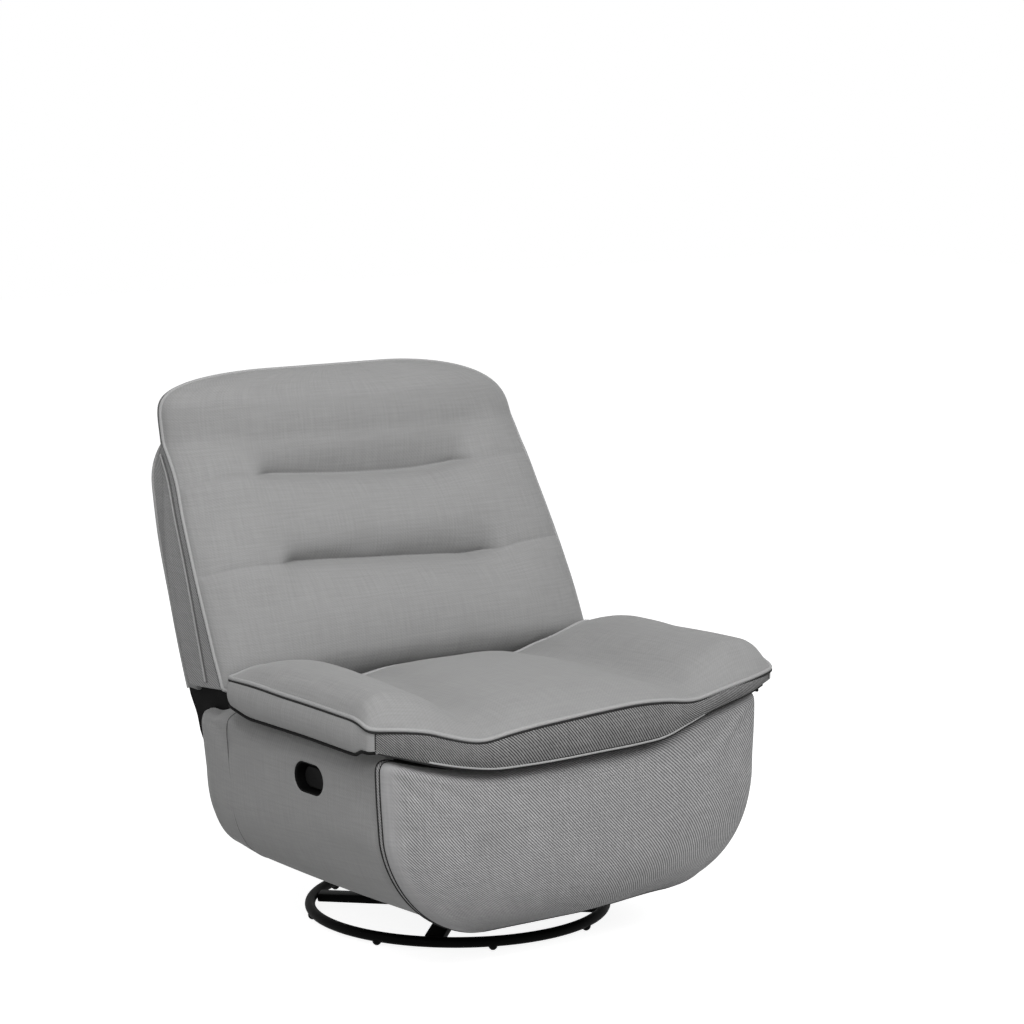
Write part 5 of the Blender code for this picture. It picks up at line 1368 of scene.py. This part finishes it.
def rounded_loft(name, middle_f, length, height, steps, turns, finish):
    """Closed skin over long rounded outlines at the handle's height, one for each (inset, x) step."""
    turn = np.radians(np.linspace(-90.0, 90.0, turns + 1))
    reach = (length - height) / 2
    rings = []
    for inset, x in steps:
        radius = height / 2 - inset
        f = reach + radius * np.cos(turn)
        z = radius * np.sin(turn)
        rings.append(to_blender(x, middle_f + np.concatenate((f, -f)), CUP_Z + np.concatenate((z, -z))))
    count = len(rings[0])
    points = np.vstack(rings)
    faces = [list(range(count))[::-1], [len(points) - count + n for n in range(count)]]
    for low in range(0, len(points) - count, count):
        for n in range(count):
            m = (n + 1) % count
            faces.append([low + n, low + m, low + count + m, low + count + n])
    return new_piece(name, points, faces, [finish])


def cut_cup_hole(piece):
    """Cut the opening for the handle's cup through a side cover."""
    steps = [(0.0, x - TUB_HALF) for x in HOLE_REACH]
    length = CUP_LENGTH - 2 * CUP_RIM
    height = CUP_HEIGHT - 2 * CUP_RIM
    tool = rounded_loft("cup_hole", CUP_F, length, height, steps, 14, SIDE_TWILL)
    cut = piece.modifiers.new("cup_hole", "BOOLEAN")
    cut.operation = "DIFFERENCE"
    cut.solver = "EXACT"
    cut.object = tool
    bpy.context.view_layer.update()
    graph = bpy.context.evaluated_depsgraph_get()
    mesh = bpy.data.meshes.new_from_object(piece.evaluated_get(graph))
    piece.modifiers.clear()
    piece.data = mesh
    bpy.data.objects.remove(tool, do_unlink=True)


def make_sides():
    """Upholstered side panels with their rear seams."""
    marks = (eased_marks(72, PANEL_CROWD), eased_marks(64, PANEL_CROWD), even_marks(5))
    for side, sign in (("left", 1), ("right", -1)):
        place = side_panel_place(sign)
        panel = Block("side_cover_" + side, marks, place, [SIDE_TWILL])
        panel.stuff(np.where(panel.open_face(1), 0.0, 1.0), pressure=0.8, cap=0.006)
        if sign < 0:
            cut_cup_hole(panel.piece)
        else:
            panel.refine()
        column = (PANEL_SEAM_F - PANEL_REAR_F) / (PANEL_FRONT_F - PANEL_REAR_F) * 2.0 - 1.0
        b = np.linspace(-PANEL_SEAM_REACH, PANEL_SEAM_REACH, 60)
        line = to_blender(*place(np.full_like(b, column), b, np.ones_like(b)))
        seam = cord("side_seam_" + side, [evened(line)])
        dress(panel.piece, "chair", "upholstery_fabric", "side_panel_" + side)
        dress(seam, "chair", "upholstery_fabric")


def pad_top(x):
    """Height of the footrest's top edge, lower in the middle under the seat's nose."""
    return through(SEAT_NOSE, x / SEAT_HALF) - PAD_GAP


def pad_place(a, b, c):
    """a across, b up, c towards the front."""
    up = (b + 1.0) / 2.0
    tall = PAD_TOP_Z - TUB_BOTTOM_Z
    half = tub_half_width(mix(TUB_BOTTOM_Z, PAD_TOP_Z, up)) - corner_cut((1.0 - up) * tall, PAD_CORNER)
    x = a * half
    lift = PAD_LIFT * smooth(x, *PAD_LIFT_X) * (1.0 - smooth(x, *PAD_LIFT_END_X))
    z = mix(TUB_BOTTOM_Z - PAD_LOW_DROP + lift, pad_top(x), up)
    from_side = (1.0 - np.abs(a)) * TUB_HALF
    from_end = np.minimum(1.0 + b, PAD_TOP_SHARP * (1.0 - b)) / 2.0 * tall
    rolled = 1.0 - np.clip(np.minimum(from_side, from_end) / PAD_ROLL, 0.0, 1.0)
    round_edge = np.sqrt(np.maximum(0.0, 1.0 - rolled ** PAD_ROLL_POWER))
    power = np.where(b > 0.0, PAD_TOP_POWER, PAD_LOW_POWER)
    crown = PAD_CROWN * (1.0 - np.abs(a) ** PAD_CROWN_POWER) * (1.0 - np.abs(b) ** power)
    depth = PAD_EDGE * mix(PAD_EDGE_LEAST, 1.0, round_edge) + crown
    shift = mix(through(PAD_HANDLE_SHIFT, up), through(PAD_FAR_SHIFT, up), (a + 1.0) / 2.0)
    return x + shift, PAD_REAR_F + depth * (c + 1.0) / 2.0, z


def make_footrest():
    """Footrest panel: padded ribbed cover with a seam round its face and one at its rear edge."""
    marks = (eased_marks(100, PANEL_CROWD), eased_marks(56, PANEL_CROWD), even_marks(7))
    pad = Block("footrest_cover", marks, pad_place, [])
    twill = woven("front_twill", RIB_DARK, RIB_LIGHT, 1.0, FRONT_PITCH, FRONT_ANGLE, pad.reach)
    pad.piece.data.materials.append(twill)
    edges = np.where(pad.c > -ON_SIDE, PAD_EDGE_HOLD, 1.0)
    pad.stuff(np.where(pad.open_face(1), 0.0, edges), pressure=1.2, cap=0.010)
    pad.refine()
    trims = [
        cord("footrest_seam_line", [pad.rim(-1)], True),
        cord("footrest_face_seam", [pad.rim(1)], True),
    ]
    dress(pad.piece, "footrest", "upholstery_fabric", "footrest_pad")
    for trim in trims:
        dress(trim, "footrest", "upholstery_fabric")


# Cloth sheets


def lining_slot(axis, high):
    """Grey cloth with lining on the inner face."""
    return 1 if axis == 2 and not high else 0


def make_skirt():
    """Rear skirt that hangs from the back: grey outside, black lining inside."""
    top = np.array(SKIRT_TOP)
    run = np.array(SKIRT_END) - top
    length = float(np.linalg.norm(run))
    drop = run / length
    out = np.array((drop[1], -drop[0]))

    def place(a, b, c):
        down = (b + 1.0) / 2.0
        sway = SKIRT_FOLD * smooth(down) * np.sin(math.pi * SKIRT_FOLDS * a)
        ripple = SKIRT_RIPPLE * smooth(down) * np.sin(math.pi * SKIRT_RIPPLES * a + SKIRT_RIPPLE_START)
        half = SKIRT_THICK_HALF + SKIRT_HEM_HALF * smooth(down, *SKIRT_HEM_SHARE)
        away = sway + ripple + half * c
        f = top[0] + run[0] * down + out[0] * away
        z = top[1] + run[1] * down + out[1] * away
        return a * SKIRT_HALF, f, z

    marks = (even_marks(121), even_marks(41), even_marks(2))
    skirt = Block("skirt_cloth", marks, place, [SIDE_TWILL, LINING_AND_GAP_SHADE], lining_slot)
    dress(skirt.piece, "skirt", "upholstery_fabric", "back_skirt")


def make_gussets():
    """Black lining between the back's lower edge and each side panel."""
    outline = np.array(GUSSET_OUTLINE)
    for side, sign in (("left", 1), ("right", -1)):
        bm = bmesh.new()
        verts = [bm.verts.new((sign * GUSSET_X, -f, z)) for f, z in outline]
        bm.faces.new(verts)
        bmesh.ops.triangulate(bm, faces=bm.faces)
        bmesh.ops.subdivide_edges(bm, edges=bm.edges, cuts=5, use_grid_fill=True)
        for vert in bm.verts:
            swing = math.sin(vert.co.y * GUSSET_WAVES[0]) * math.sin(vert.co.z * GUSSET_WAVES[1])
            flare = GUSSET_FLARE * smooth(vert.co.y, *GUSSET_FLARE_Y)
            vert.co.x += sign * (flare - GUSSET_SLACK * (1.0 + swing))
        area = sum(face.calc_area() for face in bm.faces)
        mesh = bpy.data.meshes.new("lining_gusset_" + side)
        bm.to_mesh(mesh)
        bm.free()
        mesh.materials.append(LINING_AND_GAP_SHADE)
        mesh.shade_smooth()
        gusset = stand("lining_gusset_" + side, mesh)
        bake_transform(gusset)
        size = outline.max(axis=0) - outline.min(axis=0)
        float(size[0])
        float(size[1])


def make_flap():
    """Cloth bridge from the seat's nose to the footrest, in a shallow fold while the footrest is shut."""
    t = np.linspace(0.0, 1.0, 41)
    fold = BRIDGE_F - BRIDGE_FOLD * np.cos(2 * math.pi * BRIDGE_FOLDS * t)
    line = np.stack((fold, mix(BRIDGE_HIGH_Z, BRIDGE_LOW_Z, t)), axis=1)
    xs = np.linspace(-BRIDGE_HALF, BRIDGE_HALF, 45)
    count = len(xs)
    points = []
    faces = []
    for f, z in line:
        points += [(x, -f, z) for x in xs]
    for row in range(len(line) - 1):
        for n in range(count - 1):
            low = row * count + n
            faces.append((low, low + 1, low + count + 1, low + count))
    mesh = bpy.data.meshes.new("footrest_bridge")
    mesh.from_pydata(points, [], faces)
    mesh.materials.append(SOFT_TWILL)
    layer = mesh.uv_layers.new(name="weave")
    along = np.concatenate(([0.0], np.cumsum(np.linalg.norm(np.diff(line, axis=0), axis=1))))
    for loop in mesh.loops:
        row, column = divmod(loop.vertex_index, count)
        layer.data[loop.index].uv = (xs[column], along[row])
    mesh.shade_smooth()
    flap = stand("footrest_bridge", mesh)
    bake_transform(flap)
    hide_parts("footrest_flap")
    float(along[-1])


# Hardware


def make_handle():
    """Release handle: dished cup with a rolled rim, and its paddle."""
    cup = rounded_loft("handle_cup_moulding", CUP_F, CUP_LENGTH, CUP_HEIGHT, CUP_STEPS, 20, BLACK_PLASTIC)
    dress(cup, "chair", "black_plastic", "handle_cup")
    middle_f = (LEVER_FRONT_F + LEVER_REAR_F) / 2
    length = LEVER_FRONT_F - LEVER_REAR_F
    steps = [(inset, LEVER_X + x) for inset, x in LEVER_STEPS]
    paddle = rounded_loft("handle_paddle", middle_f, length, 2 * LEVER_HALF, steps, 16, BLACK_PLASTIC)
    dress(paddle, "lever", "black_plastic", "release_lever")


def make_base():
    """Ring tube, its floor glides, rocker springs and seat springs."""
    turns = np.linspace(0.0, 2 * math.pi, 129)[:-1]
    ring = to_blender(RING_RADIUS * np.cos(turns), RING_RADIUS * np.sin(turns), RING_Z)
    dress(cord("ring_tube", [ring], True), "base", "black_steel", "base_ring")
    spots = []
    for name in GLIDES:
        low, high = np.array(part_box(name))
        middle = (low + high) / 2
        spots.append([(middle[0], middle[1], GLIDE_HALF)])
    sizes = {"Half X": GLIDE_RADIUS, "Half Y": GLIDE_RADIUS, "Half Z": GLIDE_HALF}
    feet = grown("ring_glides", DOMES, spots, sizes, BLACK_PLASTIC)
    dress(feet, "base", "black_plastic", *GLIDES)
    sizes = {
        "Radius": SPRING_RADIUS,
        "Wire": SPRING_WIRE,
        "Height": SPRING_HIGH_Z - SPRING_LOW_Z - 2 * SPRING_WIRE,
        "Turns": SPRING_TURNS,
    }
    for label, rail_f, first, keep in (("front", FRONT_RAIL_F, 1, 0.88), ("rear", REAR_RAIL_F, 3, 0.62)):
        spots = [[(x, -rail_f, SPRING_LOW_Z + SPRING_WIRE)] for x in (SPRING_X, -SPRING_X)]
        pair = grown("rocker_springs_" + label, COILS, spots, sizes, SPRING_STEEL)
        dress(pair, "turntable", "spring_steel", "rock_spring_%d" % first, "rock_spring_%d" % (first + 1))
        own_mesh(pair)
    chains = []
    t = np.linspace(0.0, 1.0, 121)
    for n in range(4):
        x = SEAT_WIRE_SPACING * (n - 1.5) + SEAT_WIRE_SWING * np.sin(2 * math.pi * SEAT_WIRE_WAVES * t)
        chains.append(to_blender(x, mix(SEAT_WIRE_START, SEAT_WIRE_END, t), SEAT_WIRE_Z))
    wires = cord("seat_wires", chains)
    dress(wires, "chair", "spring_steel", *["seat_spring_%d" % n for n in range(1, 5)])


def make_hardware():
    """Steel and plastic parts with softened edges in place of the plain CAD nodes, and boards darkened to
    near-black as painted shade where they show through gaps.
    """
    slots = {row["node"]: row["material_slot"] for row in frame["record"]["subparts"]}
    for body, names in SOFTENED.items():
        for name in names:
            mesh = NODES[name].data.copy()
            bm = bmesh.new()
            bm.from_mesh(mesh)
            bmesh.ops.remove_doubles(bm, verts=bm.verts, dist=MERGE_DISTANCE)
            flat = math.radians(FLAT_DEG)
            bmesh.ops.dissolve_limit(bm, angle_limit=flat, verts=bm.verts, edges=bm.edges)
            bm.to_mesh(mesh)
            bm.free()
            mesh.materials.clear()
            mesh.materials.append(SLOT_FINISH[slots[name]])
            mesh.shade_smooth()
            mesh.set_sharp_from_angle(angle=math.radians(SHARP_DEG))
            part = stand("soft_edged_" + name, mesh)
            edge = part.modifiers.new("edge", "BEVEL")
            edge.width = SOFT_EDGE
            edge.segments = 2
            edge.limit_method = "ANGLE"
            edge.angle_limit = math.radians(SOFTENED_DEG)
            dress(part, body, slots[name], name)
    for name, node in NODES.items():
        if slots[name] == "frame_wood":
            node.data.materials.clear()
            node.data.materials.append(SHADE_DARK_PLYWOOD)


# Studio


def aimed(name, data, place, look):
    """Lamp or camera at a place, looking along a direction."""
    holder = stand(name, data)
    holder.location = place
    holder.rotation_euler = look.to_track_quat("-Z", "Y").to_euler()
    return holder


def make_studio():
    """Camera at the photograph's angle, soft lights and a white floor that keeps the shadow."""
    azimuth = math.radians(CAMERA_AZIMUTH)
    ahead = Vector((-math.sin(azimuth), math.cos(azimuth), 0.0))
    right = Vector((ahead.y, -ahead.x, 0.0))
    yaw = math.radians(CAMERA_YAW)
    pitch = math.radians(CAMERA_PITCH)
    level = math.cos(yaw) * ahead + math.sin(yaw) * right
    look = math.cos(pitch) * level + math.sin(pitch) * Vector((0.0, 0.0, 1.0))
    lens = bpy.data.cameras.new("studio_camera")
    lens.lens = CAMERA_LENS
    lens.sensor_width = SENSOR
    spot = Vector((0.0, 0.0, CAMERA_HEIGHT)) - CAMERA_DISTANCE * ahead
    SCENE.camera = aimed("studio_camera", lens, spot, look)

    for name, place, size, power in LIGHTS:
        lamp = bpy.data.lights.new(name, "AREA")
        lamp.shape = "DISK"
        lamp.size = size
        lamp.energy = power
        aimed(name, lamp, place, Vector(LIGHT_AIM) - Vector(place))

    world = bpy.data.worlds.new("studio")
    world.use_nodes = True
    sky = Graph(world.node_tree)
    back = world.node_tree.nodes["Background"]
    back.inputs["Color"].default_value = WHITE
    sky.join(back.inputs["Strength"], sky.seen() * (1.0 - AMBIENT) + AMBIENT)
    SCENE.world = world

    corners = [(-1, -1), (1, -1), (1, 1), (-1, 1)]
    mesh = bpy.data.meshes.new("studio_floor")
    mesh.from_pydata([(x * FLOOR_HALF, y * FLOOR_HALF, FLOOR_Z) for x, y in corners], [], [(0, 1, 2, 3)])
    floor = stand("studio_floor", mesh)
    paint = Finish("studio_floor")
    paint.surface(Base_Color=FLOOR_GREY, Roughness=0.95, Specular_IOR_Level=0.0)
    glow = paint.node("ShaderNodeEmission", None, {"Color": WHITE, "Strength": FLOOR_GLOW})
    clear = paint.node("ShaderNodeEmission", None, {"Strength": 0.0})
    shown = paint.node("ShaderNodeMixShader", None, {0: paint.seen(), 1: clear, 2: glow})
    total = paint.node("ShaderNodeAddShader", None, {1: shown})
    paint.tree.links.new(paint.shader.outputs[0], total.node.inputs[0])
    paint.join(paint.tree.nodes["Material Output"].inputs["Surface"], total)
    mesh.materials.append(paint.material)
    SCENE.view_settings.view_transform = "Standard"


make_studio()
make_seat()
make_back()
make_shell()
make_sides()
make_footrest()
make_skirt()
make_gussets()
make_flap()
make_handle()
make_base()
make_hardware()
